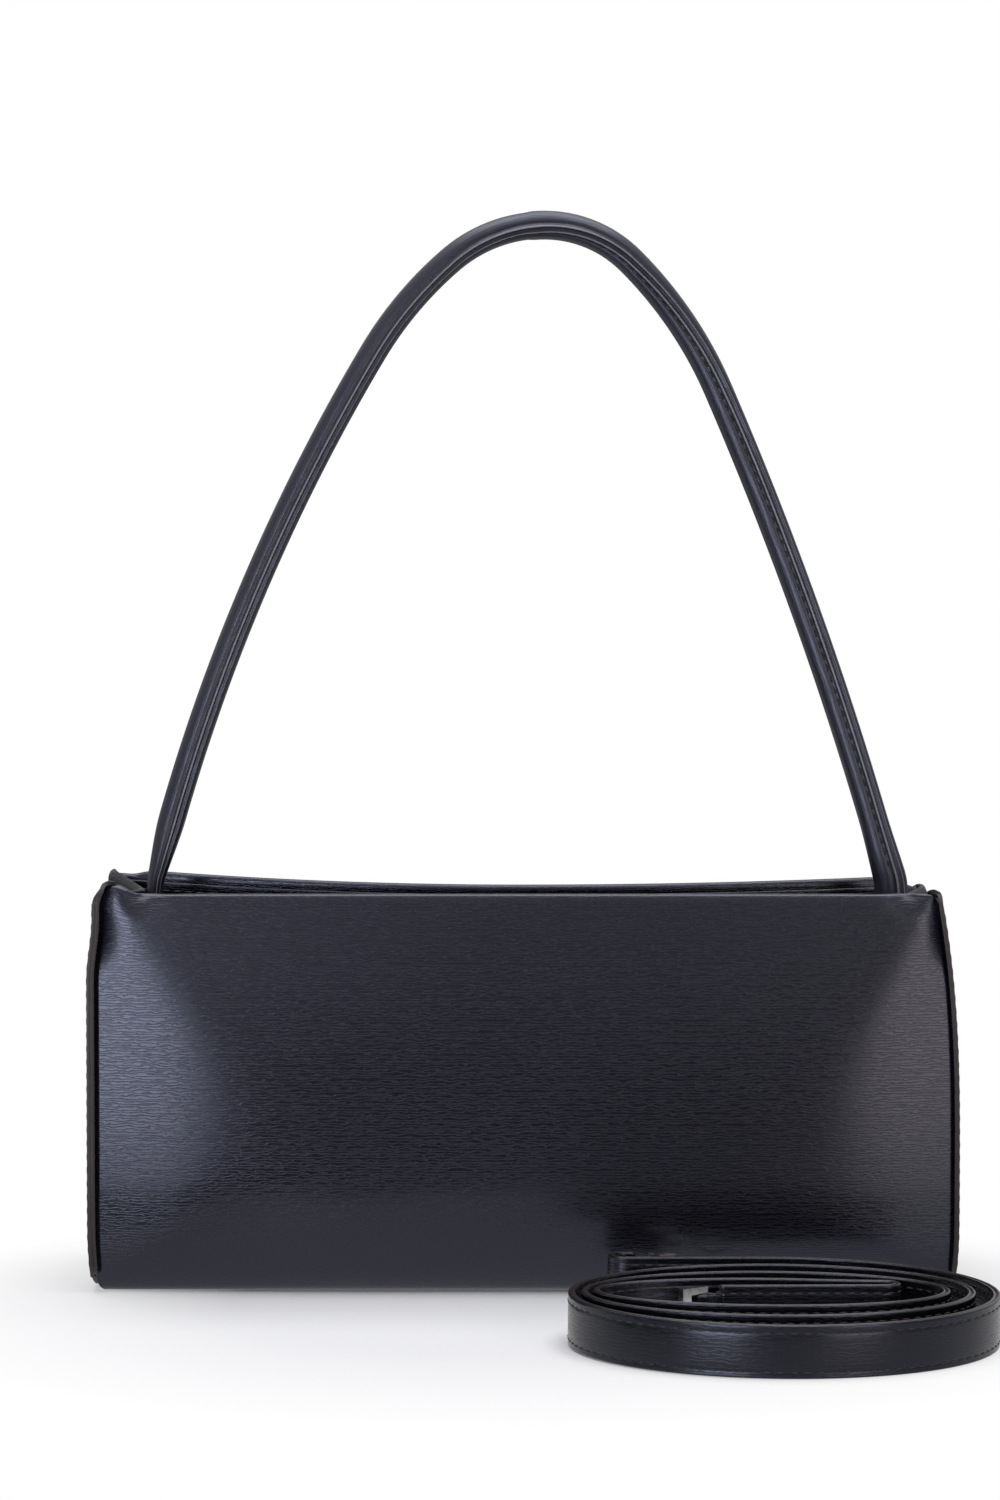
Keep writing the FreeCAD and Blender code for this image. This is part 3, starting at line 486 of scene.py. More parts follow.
gussets = {"face": {-1: 129.7, 1: 128.8}, "tuck": 12.5, "tuckFoot": 12.0, "foldMargin": 4.5, "crease": 0.006,
           "soft": 0.01, "sag": 2.6, "cornerReach": 9.0, "footDrop": 3.4, "footClimb": (-12.0, 7.8),
           "footRamp": (2.0, 6.0), "foot": 4.2, "columns": 44, "margin": 0.12,
           "hem": [(110.0, 3.2), (114.0, 3.2), (117.0, 3.2), (119.0, 3.15), (120.0, 2.75), (120.75, 2.1),
                   (121.0, 1.55), (120.75, 1.0), (120.1, 0.4), (119.3, 0.08)]}


def edgeY(side, z):
    # Where the wall meets the side seam, bottom roll included
    depth, height = bag["roll"][side]
    turn = asin(clamp(1 - z / height))
    return wallY(side, bag["half"], z) + inwardWay[side] * depth * (1 - cos(turn))


def tuckAt(z):
    return gussets["tuck"] * clamp((z - gussets["tuckFoot"]) / (bag["rim"] - gussets["tuckFoot"]))


def foldShare(y, front, back):
    # 1 on the fold line in the middle, 0 beside the seams
    middle = 0.5 * (front + back)
    reach = 0.5 * (back - front) - gussets["foldMargin"]
    away = sqrt(((y - middle) / reach) ** 2 + gussets["crease"])
    return 0.5 * (1 - away + sqrt((1 - away) ** 2 + gussets["soft"]))


def gussetPoint(side, face, y, z, front, back, deep):
    # The back edge follows the back rim, the top dips where the panel folds, and the foot reaches the floor
    fold = foldShare(y, front, back)
    rear = smooth((y - front) / (back - front))
    height = z * mixed(1.0, backTop(side * bag["half"]) / bag["rim"], rear)
    height -= gussets["sag"] * clamp(fold) * clamp(z / bag["rim"]) ** 6
    if side < 0:
        height += cornerLift("front", -bag["half"], z) * (1 - smooth((y - front) / gussets["cornerReach"]))
    drop = gussets["footDrop"] * climb(-z, *gussets["footClimb"])
    height -= drop * ramp(min(y - front, back - y), *gussets["footRamp"])
    x = mixed(face * endScale(side, height, rear), face - tuckAt(z), fold)
    return side * (x - deep), y, height


def buildGusset(name, side, face, inset, rows, material, sheet, flanged):
    grid, walked = [], 0.0
    across, margin = gussets["columns"], gussets["margin"]
    for i, (z, deep) in enumerate(rows):
        walked += hypot(z - rows[i - 1][0], deep - rows[i - 1][1]) if i else 0.0
        stand = flange["out"] * flangeRise(z) if flanged else 0.0
        front, back = edgeY("front", z) + inset, edgeY("back", z) - inset
        narrow = 1.15 * deep - stand * (1 - clamp(deep / 1.2))
        line = []
        for j in range(across + 1):
            turn = pi * (margin + (1 - 2 * margin) * j / across)
            share = 0.5 - 0.5 * cos(turn) / cos(pi * margin)
            y = mixed(front + narrow, back - narrow, share)
            line.append((gussetPoint(side, face, y, z, front, back, deep), (y, walked)))
        grid.append(line)
    panel = gridPiece(name, grid, [material, edge], flip=(side > 0))
    return thicken(panel, sheet, rim=int(flanged), bevel=0.22 * flanged)


gussetRows = gussets["hem"] + [(mixed(bag["hemFoot"], gussets["foot"], i / 60), 0.0) for i in range(61)]
for name, side in (("left", -1), ("right", 1)):
    gusset = buildGusset(name + "Gusset", side, gussets["face"][side], 0.0, gussetRows, sideLeather,
                         bag["leather"], True)
    place(gusset, "bag", "leather", name + "_gusset")
print("stage: gussets")


# Inside of the bag

inside = {"half": 123.5, "facingTop": 118.0, "facingLow": 91.0, "facing": 1.1, "facingIn": 3.6, "liner": 0.6,
          "linerIn": 3.6, "linerTop": 92.5, "sideIn": 2.2, "sideInset": 4.8, "sideTop": 113.0,
          "sideFoot": 5.0, "pocket": (60.0, 20.0, 75.0), "pocketIn": 4.9, "pocketFlare": 0.35}


def stripPoint(side, x, z, inward):
    height = z if side == "front" else z * backTop(x) / bag["rim"]
    y = wallY(side, x, height, True) + inwardWay[side] * (inward + seamInset(x, height, side))
    return x * endScale(x, height), y, height


def buildStrip(name, side, half, low, high, inward, sheet, material, flare=0.0):
    grid = []
    for i in range(31):
        z = mixed(low, high, i / 30)
        line = []
        for j in range(81):
            x = mixed(-half, half, j / 80)
            ripple = flare * sin(x / 9.0) * (i / 30) ** 2
            line.append((stripPoint(side, x, z, inward + ripple), (x, z)))
        grid.append(line)
    strip = gridPiece(name, grid, [material], flip=(side == "front"))
    return thicken(strip, sheet, bevel=0.25 if sheet > 1 else 0.0)


for side in inwardWay:
    strip = buildStrip(side + "Facing", side, inside["half"], inside["facingLow"], inside["facingTop"],
                       inside["facingIn"], inside["facing"], leather)
    place(strip, "bag", "leather", "facing_" + side, "stiffener_" + side)
pocketHalf, pocketLow, pocketHigh = inside["pocket"]
pocket = buildStrip("slipPocket", "front", pocketHalf, pocketLow, pocketHigh, inside["pocketIn"],
                    inside["liner"], lining, flare=inside["pocketFlare"])
place(pocket, "bag", "lining", "slip_pocket")


def buildLiner():
    grid, walked, last = [], 0.0, None
    for number, row in enumerate(stations(inside["linerTop"], (20, 10, 10, 10), inside["linerIn"])):
        middle = wrapPoint(0.0, row, True)[0]
        walked += (middle - last).length if last else 0.0
        last = middle
        line = []
        for j in range(81):
            x = mixed(-inside["half"], inside["half"], j / 80)
            spot, inward, inset = wrapPoint(x, row, True)
            # Small slack waves
            slack = 0.2 * sin(x / 13 + number * 0.4) + 0.15 * sin(x / 5.3 - number * 0.7)
            spot = spot + inward * (inset + seamInset(x, spot.z) + slack)
            line.append(((spot.x * endScale(spot.x, spot.z), spot.y, spot.z), (x, walked)))
        grid.append(line)
    return thicken(gridPiece("liningWrap", grid, [lining], flip=True), inside["liner"]), walked


liner, linerLength = buildLiner()
place(liner, "bag", "lining", "lining_wrap", "base_board")
sideRows = [(mixed(inside["sideTop"], inside["sideFoot"], i / 44), 0.0) for i in range(45)]
for name, side in (("Left", -1), ("Right", 1)):
    panel = buildGusset("lining" + name, side, gussets["face"][side] - inside["sideIn"], inside["sideInset"],
                        sideRows, lining, inside["liner"], False)
    place(panel, "bag", "lining", "lining_" + name.lower())
print("stage: inside")


# Handle: a rolled tube with a stitched lip, bending at its roots into flat tabs

handle = {"radius": 4.15, "pivot": 122.2, "rise": 200.0, "apexShift": 6.9, "rootDepth": 7.0, "pieces": 240,
          "halfSpan": {"left": 112.3, "right": 113.3}, "crown": {"left": 43.7, "right": 37.3},
          "crownSweep": {"left": 40.6, "right": 44.8}, "shoulder": {"left": 115.0, "right": 126.4},
          "shoulderSweep": {"left": 18.5, "right": 21.6}, "rootRamp": (116.0, 26.0),
          "wide": {"left": (1.0, -0.42), "right": (1.06, 0.2)},
          "deep": {"left": (1.0, 0.25), "right": (1.0, -0.05)},
          "lipTurn": (26, -30), "lipTurnRamp": (0.42, 0.3), "lipReach": 3.0, "lipStep": 0.2, "lipApart": 1.4,
          "lipWide": 0.42, "lipHigh": 0.85, "lipCrest": (0.55, 1.05), "channel": 0.28, "channelWide": 0.5}


def handleSide(side):
    # Points from the root to the top: a long arc for the leg, a rounder shoulder, then the crown
    turn = 1 if side == "left" else -1
    crown, shoulder = handle["crown"][side], handle["shoulder"][side]
    lean = pi / 2 + turn * radians(handle["crownSweep"][side])
    fall = lean + turn * radians(handle["shoulderSweep"][side])
    crownWay, outward = (Vector((cos(a), sin(a))) for a in (lean, fall))
    hub = Vector((handle["apexShift"], handle["pivot"] + handle["rise"] - crown))
    shoulderHub = hub + crownWay * (crown - shoulder)
    bend = shoulderHub + outward * shoulder
    foot = Vector((-turn * handle["halfSpan"][side], handle["pivot"]))
    chord = foot - bend
    leg = -chord.length_squared / (2 * chord.dot(outward))
    legHub = bend - outward * leg
    start, end = (atan2(p.y - legHub.y, p.x - legHub.x) % (2 * pi) for p in (foot, bend))
    if turn < 0:
        start, end = (a - 2 * pi if a > pi else a for a in (start, end))
    points = arcPoints(legHub, leg, start, end, 60)[:-1]
    points += arcPoints(shoulderHub, shoulder, fall, lean, 30)[:-1]
    return points + arcPoints(hub, crown, lean, pi / 2, 40)


def evenly(points, count):
    lengths = [0.0]
    for a, b in zip(points, points[1:]):
        lengths.append(lengths[-1] + (b - a).length)
    spots, k = [], 0
    for i in range(count + 1):
        goal = lengths[-1] * i / count
        while k < len(points) - 2 and lengths[k + 1] < goal:
            k += 1
        span = lengths[k + 1] - lengths[k]
        spots.append(points[k].lerp(points[k + 1], clamp((goal - lengths[k]) / span)))
    return spots, lengths[-1]


def handleLine():
    left, right = handleSide("left"), handleSide("right")
    deep = handle["rootDepth"]
    start = [left[0] + Vector((-0.6 * t / deep, -t)) for t in (deep, deep * 0.66, deep * 0.33)]
    end = [right[0] + Vector((0.6 * t / deep, -t)) for t in (deep * 0.33, deep * 0.66, deep)]
    return evenly(start + left + right[-2::-1] + end, handle["pieces"])


def handleArcs():
    # Places round the tube in mm from the lip's middle, close together at the lip; the last closes it
    around, reach = 2 * pi * handle["radius"], handle["lipReach"]
    lip = [-reach + handle["lipStep"] * i for i in range(31)]
    return lip + [mixed(reach, around - reach, i / 34) for i in range(1, 35)]


def handlePoint(spots, i, arc, lift=0.0):
    share = i / (len(spots) - 1)
    spot = spots[i]
    along = heading(spots, i)
    inner = Vector((along.y, 0, -along.x))
    # The left root is squeezed narrow, and the right one is flattened wide
    root = 1 - ramp(spot.y, *handle["rootRamp"])
    side = "left" if share < 0.5 else "right"
    wide, deep = (base + gain * root for base, gain in (handle["wide"][side], handle["deep"][side]))
    # Angle 0 faces the front, positive turns towards the inside of the arch
    start, end = (radians(a) for a in handle["lipTurn"])
    angle = mixed(start, end, ramp(share, *handle["lipTurnRamp"])) + arc / handle["radius"]
    size = handle["radius"] + lift
    for middle in (-0.5, 0.5):
        size += handle["lipHigh"] * bell(arc - middle * handle["lipApart"], handle["lipWide"])
    size -= handle["channel"] * bell(abs(arc) - 1.25 * handle["lipApart"], handle["channelWide"])
    across = inner * (sin(angle) * size * wide)
    return spot.x + across.x, -cos(angle) * size * deep, spot.y + across.z


def buildHandle(spots, length):
    arcs = handleArcs()
    grid = [[(handlePoint(spots, i, arc), (length * i / handle["pieces"], arc)) for arc in arcs]
            for i in range(len(spots))]
    low, high = handle["lipCrest"]
    # The crest columns take the pale painted highlight
    crests = [j for j, arc in enumerate(arcs) if low < abs(arc + handle["lipStep"] / 2) < high]
    return gridPiece("handleCover", grid, [rolledLeather, lipHighlightPaint, rolledLeather], tube=True, accent=crests)


def swing(piece):
    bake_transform(piece)


handleSpots, handleLength = handleLine()
handleCover = buildHandle(handleSpots, handleLength)
swing(handleCover)
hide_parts("handle_cover", "handle_core")
print("stage: handle")


# Tabs at the handle's ends, and the loops that hold the rings

tabs = {"top": (112.6, 117.0), "foot": (118.4, 83.9), "half": 7.0, "footHalf": 1.1, "thick": 2.2,
        "inset": 1.7}
loops = {"axis": (112.967, 96.0), "radius": 1.85, "thick": 1.15, "half": 4.5,
         "sheet": [(111.7, 111.0), (113.2, 104.0), (114.3, 99.5)],
         "tail": [(112.3, 99.6), (112.4, 102.0), (111.9, 105.0)]}


def tabHalf(away):
    # Half the width, this far from the rounded foot
    short = clamp(1 - away / tabs["half"])
    return max(tabs["footHalf"], tabs["half"] * sqrt(1 - short * short))


def tabLine(side):
    top, foot = (Vector((side * x, 0, z)) for x, z in (tabs["top"], tabs["foot"]))
    return [top.lerp(foot, i / 40) for i in range(41)]


def ringLoopLine(side):
    roll = arcPoints(loops["axis"], loops["radius"], radians(20), radians(-240), 26)
    rough = [Vector((side * p, 0, q)) for p, q in loops["sheet"] + roll + loops["tail"]]
    return evenly(rough, 60)[0]


tabStitchLines = []
depthWay = Vector((0, 1, 0))
for name, side in (("Left", -1), ("Right", 1)):
    line = tabLine(side)
    half = [tabHalf((spot - line[-1]).length) for spot in line]
    tab = sweepBand("handleTab" + name, line, depthWay, half, tabs["thick"], [leather, edge])
    place(tab, "bag", "leather", "handle_tab_" + name.lower())
    inner = [spot - Vector((side * tabs["thick"] * 0.5, 0, 0)) for spot in line[:-2]]
    near, far = ([tuple(p + depthWay * (way * max(h - tabs["inset"], 0))) for p, h in zip(inner, half)]
                 for way in (-1, 1))
    tabStitchLines.append(near + far[::-1])
    line = ringLoopLine(side)
    loop = sweepBand("ringLoop" + name, line, depthWay, [loops["half"]] * len(line), loops["thick"],
                     [leather, edge])
    place(loop, "bag", "leather", "ring_tab_" + name.lower())
print("stage: tabs and loops")


# Strap: one band on its edge, two layers with a painted groove between them

strap = {"wide": 15.0, "thick": 2.6, "coil": (11.4, 137.6, -171.4, -57.0), "step": (3.7, -7.0, 15.2, -11.6),
         "turns": 3.0, "lead": 31.0, "returnRadius": 4.25, "returnRun": 3.0, "hairpin": (105.0, -95.0),
         "hairpinRadius": 3.6, "innerEnd": (57.0, -103.0), "pieces": 660, "stitchRows": (5.2, -5.7),
         "layerRound": 0.58, "faceHalf": 6.85, "faceCrown": 0.1, "channel": 0.13, "channelWide": 0.22,
         "grooveDeep": 0.62, "layerInset": 0.03}


def coilPoint(turns):
    left, right, front, back = (start + step * turns for start, step in zip(strap["coil"], strap["step"]))
    angle = pi / 2 - 2 * pi * turns
    return Vector(((left + right) / 2 + (right - left) / 2 * cos(angle),
                   (front + back) / 2 + (back - front) / 2 * sin(angle)))


def easedRun(start, startWay, end, endWay, count=40):
    # A smooth run that leaves and arrives along the given ways
    reach = (end - start).length * 0.36
    a, b = start + startWay * reach, end - endWay * reach
    run = []
    for i in range(1, count):
        t = i / count
        run.append((1 - t) ** 3 * start + 3 * t * (1 - t) ** 2 * a + 3 * t * t * (1 - t) * b + t ** 3 * end)
    return run


def strapLine():
    back = strap["coil"][3]
    radius = strap["returnRadius"]
    outerEnd = Vector((strap["lead"] + strap["returnRun"], back + 2 * radius))
    turnBack = arcPoints((strap["lead"], back + radius), radius, pi / 2, 3 * pi / 2)
    coil = [coilPoint(strap["turns"] * i / 360) for i in range(361)]
    pin, tight = Vector(strap["hairpin"]), strap["hairpinRadius"]
    into = easedRun(coil[-1], (coil[-1] - coil[-2]).normalized(), pin, Vector((1, 0)))
    bend = arcPoints((pin.x, pin.y - tight), tight, pi / 2, -pi / 2)
    end = Vector(strap["innerEnd"])
    lead = [turnBack[-1].lerp(coil[0], i / 12) for i in range(1, 12)]
    last = [bend[-1].lerp(end, i / 16) for i in range(1, 17)]
    return evenly([outerEnd] + turnBack + lead + coil + into + bend + last, strap["pieces"])


def strapSection():
    # Across the band: faces slightly crowned with a shallow channel under each stitch row,
    # edges of two rounded layers with a groove between; 1 marks edge paint
    h, t, r = strap["wide"] / 2, strap["thick"] / 2, strap["layerRound"]
    high, low = strap["stitchRows"]
    reach, crown = strap["faceHalf"], strap["faceCrown"]
    face = []
    for z in (-reach, -6.3, low - 0.25, low, low + 0.25, -4.9, -3.2, 0.0, 3.2, 4.5, high - 0.25, high,
              high + 0.25, 5.9, 6.6):
        channel = strap["channel"] * bell(min(abs(z - low), abs(z - high)), strap["channelWide"])
        face.append((t - crown + crown * (1 - (z / reach) ** 2) - channel, z, 0))
    top = []
    for a in (15, 40, 65, 90, 115, 140, 165):
        turn = radians(a)
        out = t - strap["layerInset"] - r + r * cos(turn)
        top.append((out, h - r + r * sin(turn), 1 if a > 70 else 0))
    ring = face + top + [(0.0, h - strap["grooveDeep"], 1)] + [(-n, z, m) for n, z, m in reversed(top)]
    return ring + [(-n, -z, m) for n, z, m in ring]


def strapFrames(spots, length):
    # Each spot, the way across the band there, and the length walked to it
    ways = [heading(spots, i) for i in range(len(spots))]
    return [(spot, Vector((-way.y, way.x)), length * i / strap["pieces"])
            for i, (spot, way) in enumerate(zip(spots, ways))]


def strapLean(along):
    # The band leans a little to and fro along its length
    return 0.018 * sin(along / 61.0) + 0.012 * sin(along / 23.0)


def strapPoint(spot, side, along, n, z):
    out = n + strapLean(along) * z
    return spot.x + side.x * out, spot.y + side.y * out, strap["wide"] / 2 + z


def buildStrap(spots, length):
    section = strapSection()
    section.append(section[0])
    across = [0.0]
    for a, b in zip(section, section[1:]):
        across.append(across[-1] + hypot(a[0] - b[0], a[1] - b[1]))
    grid = []
    for spot in strapFrames(spots, length):
        grid.append([(strapPoint(*spot, n, z), (spot[2], v)) for (n, z, _), v in zip(section, across)])
    painted = [j for j, (a, b) in enumerate(zip(section, section[1:])) if a[2] and b[2]]
    return gridPiece("strapBand", grid, [strapLeather, strapEdge], tube=True, accent=painted, flip=True)


strapSpots, strapLength = strapLine()
strapBand = buildStrap(strapSpots, strapLength)
place(strapBand, "strap", "strap_leather", "strap_band")
print("stage: strap", round(strapLength, 1))

strapEnds = {"inner": (52.0007, -103.0833, 180.955), "outer": (39.0, -48.5, 0.0), "rollRadius": 2.5,
             "thick": 1.35, "half": 5.0, "neck": [(-5.3, 0.68), (-4.3, 0.74), (-3.5, 0.98), (-2.75, 1.4)]}


def strapEndLine(end):
    # The end is pared thin, folded round the clasp's bar and sewn back on itself
    x, y, turn = strapEnds[end]
    roll = arcPoints((0, 0), strapEnds["rollRadius"], radians(138), radians(-138), 30)
    path = strapEnds["neck"] + roll + [(p, -q) for p, q in reversed(strapEnds["neck"])]
    c, s = cos(radians(turn)), sin(radians(turn))
    rough = [Vector((x + p * c - q * s, y + p * s + q * c, strap["wide"] / 2)) for p, q in path]
    return evenly(rough, 60)[0]


for end in ("inner", "outer"):
    line = strapEndLine(end)
    strapEnd = sweepBand(end + "StrapEnd", line, Vector((0, 0, 1)), [strapEnds["half"]] * len(line),
                         strapEnds["thick"], [strapLeather, strapEdge])
    place(strapEnd, "strap", "strap_leather", end + "_strap_loop")
print("stage: strap ends")


# Stitches: rows of small threads along lines, given by their pitch, length and thickness

stitches = {"strap": (3.8, 2.7, 0.5), "seam": (4.0, 3.0, 0.5), "inside": (3.6, 2.6, 0.5),
            "lip": (3.7, 2.5, 0.42), "sunk": 0.09, "seamHeights": (9, 114), "seamOut": 1.5, "seamIn": 0.08,
            "facingHalf": 118, "facingEdge": 2.5, "pocketEdge": 2.0, "lipArc": 1.75, "lipLift": 0.1,
            "lipSkip": 6}


def stitchTree():
    tree = bpy.data.node_groups.new("stitchRows", "GeometryNodeTree")
    kinds = {"Geometry": "Geometry", "Pitch": "Float", "Length": "Float", "Thickness": "Float",
             "Thread": "Material"}
    for name, kind in kinds.items():
        tree.interface.new_socket(name, in_out="INPUT", socket_type="NodeSocket" + kind)
    tree.interface.new_socket("Geometry", in_out="OUTPUT", socket_type="NodeSocketGeometry")
    given = addNode(tree, "NodeGroupInput").outputs
    curve = addNode(tree, "GeometryNodeMeshToCurve", links={0: given["Geometry"]})
    spaced = addNode(tree, "GeometryNodeResampleCurve", {"mode": "LENGTH"},
                     {"Curve": curve, "Length": given["Pitch"]})
    tangent = addNode(tree, "GeometryNodeInputTangent")
    turned = addNode(tree, "FunctionNodeAlignRotationToVector", {"axis": "X"}, {"Vector": tangent})
    ball = addNode(tree, "GeometryNodeMeshUVSphere", {"Segments": 8, "Rings": 6, "Radius": 0.5})
    size = addNode(tree, "CombineXYZ",
                   links={0: given["Length"], 1: given["Thickness"], 2: given["Thickness"]})
    stitch = addNode(tree, "GeometryNodeTransform", links={"Geometry": ball, "Scale": size})
    rows = addNode(tree, "GeometryNodeInstanceOnPoints",
                   links={"Points": spaced, "Instance": stitch, "Rotation": turned})
    real = addNode(tree, "GeometryNodeRealizeInstances", links={0: rows})
    soft = addNode(tree, "GeometryNodeSetShadeSmooth", links={0: real})
    painted = addNode(tree, "GeometryNodeSetMaterial", links={"Geometry": soft, "Material": given["Thread"]})
    addNode(tree, "NodeGroupOutput", links={0: painted})
    return tree


stitching = stitchTree()


def stitchRows(name, lines, pitch, length, thick):
    points, edges = [], []
    for line in lines:
        start = len(points)
        points += [Vector(p) * mm for p in line]
        edges += [(start + i, start + i + 1) for i in range(len(line) - 1)]
    mesh = bpy.data.meshes.new(name)
    mesh.from_pydata(points, edges, [])
    piece = addObject(name, mesh)
    nodes = piece.modifiers.new("stitches", "NODES")
    nodes.node_group = stitching
    sockets = stitching.interface.items_tree
    inputs = {item.name: item.identifier for item in sockets if item.in_out == "INPUT"}
    values = {"Pitch": pitch * mm, "Length": length * mm, "Thickness": thick * mm, "Thread": thread}
    for key, value in values.items():
        nodes[inputs[key]] = value
    return applyModifiers(piece)


def strapRows():
    rows = []
    for face in (1, -1):
        for z in strap["stitchRows"]:
            out = face * (strap["thick"] / 2 - stitches["sunk"])
            rows.append([strapPoint(*spot, out, z) for spot in strapFrames(strapSpots, strapLength)])
    return rows


def seamRows():
    rows = []
    low, high = stitches["seamHeights"]
    for side in (-1, 1):
        face = gussets["face"][side] - stitches["seamIn"]
        for wall, inward in inwardWay.items():
            line = []
            for i in range(50):
                z = mixed(low, high, i / 49)
                front, back = edgeY("front", z), edgeY("back", z)
                y = edgeY(wall, z) - inward * stitches["seamOut"] * flangeRise(z)
                line.append(gussetPoint(side, face, y, z, front, back, 0.0))
            rows.append(line)
    return rows


def insideRows():
    rows = []
    half, margin = stitches["facingHalf"], stitches["facingEdge"]
    inner = inside["facingIn"] + inside["facing"]
    for side in inwardWay:
        for z in (inside["facingLow"] + margin, inside["facingTop"] - margin):
            rows.append([stripPoint(side, mixed(-half, half, i / 60), z, inner) for i in range(61)])
    reach, low, high = pocketHalf - stitches["pocketEdge"], pocketLow + stitches["pocketEdge"], pocketHigh
    outline = [(-reach, mixed(high, low, i / 12)) for i in range(13)]
    outline += [(mixed(-reach, reach, i / 30), low) for i in range(1, 30)]
    outline += [(reach, mixed(low, high, i / 12)) for i in range(13)]
    rows.append([stripPoint("front", x, z, inside["pocketIn"] + inside["liner"]) for x, z in outline])
    return rows


strapStitches = stitchRows("strapStitches", strapRows(), *stitches["strap"])
place(strapStitches, "strap", "strap_leather")
seamStitches = stitchRows("seamStitches", seamRows(), *stitches["seam"])
place(seamStitches, "bag", "leather")
insideStitches = stitchRows("insideStitches", insideRows() + tabStitchLines, *stitches["inside"])
place(insideStitches, "bag", "lining")
lipSpan = range(stitches["lipSkip"], len(handleSpots) - stitches["lipSkip"])
lipLine = [handlePoint(handleSpots, i, stitches["lipArc"], stitches["lipLift"]) for i in lipSpan]
handleStitches = stitchRows("handleStitches", [lipLine], *stitches["lip"])
swing(handleStitches)
print("stage: stitches")
# Metal keeps its solids

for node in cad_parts.values():
    if any(word in node.name for word in ("clasp", "d_ring", "snap")):
        node.data.materials.clear()
        node.data.materials.append(nickel)


# Stage: pale floor, soft light, the photograph's view. Sizes are in metres here.

view = {"place": (-0.0066, -1.591, 0.290), "pitch": 4.6, "lens": 124.9}
studio = {"floorFront": -0.335, "floorFar": 4.0, "floorDrop": -0.0002, "shadow": (0.145, 0.13),
          "ambient": 0.22, "backdrop": 1.0}

# To the eye the floor shows its shadows round the part and glows plain white further off
floorMaterial, tree, where = newMaterial("paleFloor", "Object")
matt = addNode(tree, "BsdfDiffuse", {"Color": linear("#f2f2f4")})
glow = addNode(tree, "Emission", {"Color": linear("#ffffff"), "Strength": 1.0})
path = addNode(tree, "LightPath").outputs
shadowWide, shadowDeep = studio["shadow"]
spread = addNode(tree, "Mapping",
                 {"Location": (0, 0.4, 0), "Scale": (1 / shadowWide, 1 / shadowDeep, 0)}, {"Vector": where})
far = addNode(tree, "VectorMath", {"operation": "LENGTH"}, {0: spread}).outputs["Value"]
away = addNode(tree, "MapRange",
               {"From Min": 0.6, "From Max": 1.35, "To Min": 0.02, "To Max": 1.0}, {"Value": far})
seen = addNode(tree, "Math", {"operation": "MULTIPLY"}, {0: path["Is Camera Ray"], 1: away})
plain = addNode(tree, "MixShader", links={0: seen, 1: matt, 2: glow})
# What gloss sees of the floor is a painted glow: bright close by, with a slanting painted dark patch before
# the left half of the bag
spot = addNode(tree, "SeparateXYZ", links={0: where}).outputs
near = addNode(tree, "MapRange",
               {"From Min": 0.1, "From Max": 0.9, "To Min": 0.72, "To Max": 0.12}, {"Value": spot["Y"]})
slant = addNode(tree, "Math", {"operation": "ADD"}, {0: spot["X"], 1: spot["Y"]})
leftHalf = addNode(tree, "MapRange",
                   {"From Min": -0.26, "From Max": -0.2, "To Min": 1.0, "To Max": 0.0}, {"Value": slant})
ahead = addNode(tree, "MapRange",
                {"From Min": -0.13, "From Max": -0.06, "To Min": 1.0, "To Max": 0.0}, {"Value": spot["Y"]})
paintedDarkPatch = addNode(tree, "Math", {"operation": "MULTIPLY"}, {0: leftHalf, 1: ahead})
clear = addNode(tree, "Math", {"operation": "SUBTRACT", 0: 1.0}, {1: paintedDarkPatch})
level = addNode(tree, "Math", {"operation": "MULTIPLY"}, {0: near, 1: clear})
mirrored = addNode(tree, "Emission", {"Color": linear("#ffffff")}, {"Strength": level})
floorShader = addNode(tree, "MixShader", links={0: path["Is Glossy Ray"], 1: plain, 2: mirrored})
addNode(tree, "OutputMaterial", links={"Surface": floorShader})
floorMesh = bpy.data.meshes.new("floor")
reach = studio["floorFar"]
floorPoints = [(x, y, studio["floorDrop"]) for y in (studio["floorFront"], reach) for x in (-reach, reach)]
floorMesh.from_pydata(floorPoints, [], [(0, 1, 3, 2)])
floorMesh.materials.append(floorMaterial)
floor = addObject("floor", floorMesh)


def softbox(name, spot, target, size, power, colour, roll=0.0):
    lamp = bpy.data.lights.new(name, "AREA")
    lamp.shape = "RECTANGLE"
    lamp.size, lamp.size_y = size
    lamp.energy = power
    lamp.color = linear(colour)[:3]
    holder = addObject(name, lamp)
    holder.location = spot
    aim = (Vector(target) - Vector(spot)).to_track_quat("-Z", "Y")
    holder.rotation_euler = (aim @ Quaternion((0, 0, 1), radians(roll))).to_euler()
    holder.visible_camera = False


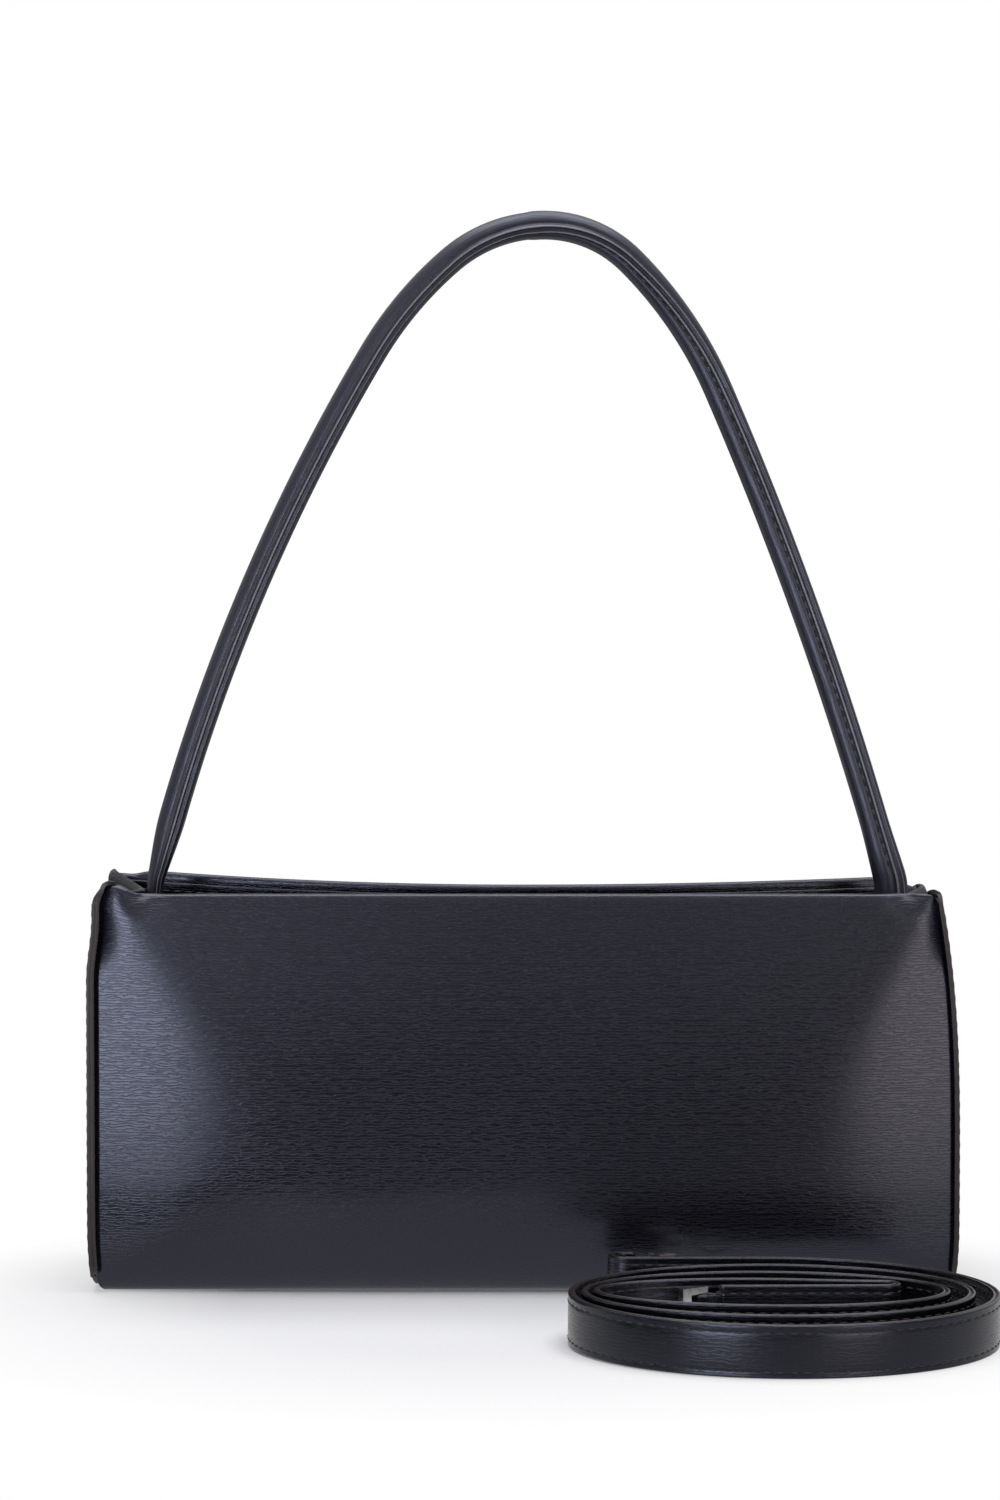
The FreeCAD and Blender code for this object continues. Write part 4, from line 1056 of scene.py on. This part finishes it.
softbox("leftSoftbox", (-0.66, -1.2, 0.02), (-0.1, 0, 0.06), (0.54, 0.85), 9.0, "#f4f6ff", roll=-20)
softbox("rightSoftbox", (0.64, -1.1, 0.05), (0.1, 0, 0.06), (0.5, 0.85), 4.0, "#fff2e6")
softbox("overhead", (0, 0.0, 1.7), (0, 0, 0), (1.8, 1.6), 30, "#ffffff")

# A white backdrop for the eye, dimmer in gloss, and dark in gloss towards the room behind the camera
world = bpy.data.worlds.new("studio")
world.use_nodes = True
scene.world = world
tree = world.node_tree
tree.nodes.clear()
path = addNode(tree, "LightPath").outputs
way = addNode(tree, "SeparateXYZ", links={0: addNode(tree, "TexCoord").outputs["Generated"]}).outputs
behind = addNode(tree, "MapRange",
                 {"From Min": -0.15, "From Max": 0.25, "To Min": 0.04, "To Max": 0.28}, {"Value": way["Y"]})
mirrored = addNode(tree, "Math", {"operation": "MULTIPLY"}, {0: path["Is Glossy Ray"], 1: behind})
shown = addNode(tree, "Math", {"operation": "MAXIMUM"}, {0: path["Is Camera Ray"], 1: mirrored})
dim = addNode(tree, "Background", {"Color": linear("#c8ccd6"), "Strength": studio["ambient"]})
white = addNode(tree, "Background", {"Color": linear("#ffffff"), "Strength": studio["backdrop"]})
ceiling = addNode(tree, "MapRange",
                  {"From Min": 0.02, "From Max": 0.24, "To Min": 0.02, "To Max": 0.62}, {"Value": way["Z"]})
dark = addNode(tree, "Background", {"Color": linear("#ffffff")}, {"Strength": ceiling})
unlit = addNode(tree, "MixShader", links={0: path["Is Glossy Ray"], 1: dim, 2: dark})
backdrop = addNode(tree, "MixShader", links={0: shown, 1: unlit, 2: white})
addNode(tree, "OutputWorld", links={"Surface": backdrop})

camera = bpy.data.cameras.new("camera")
camera.lens = view["lens"]
camera.sensor_width = 36
camera.clip_end = 50
eye = addObject("camera", camera)
eye.location = view["place"]
eye.rotation_euler = (radians(90 - view["pitch"]), 0, 0)
scene.camera = eye
scene.view_settings.view_transform = "Standard"
print("stage: studio")
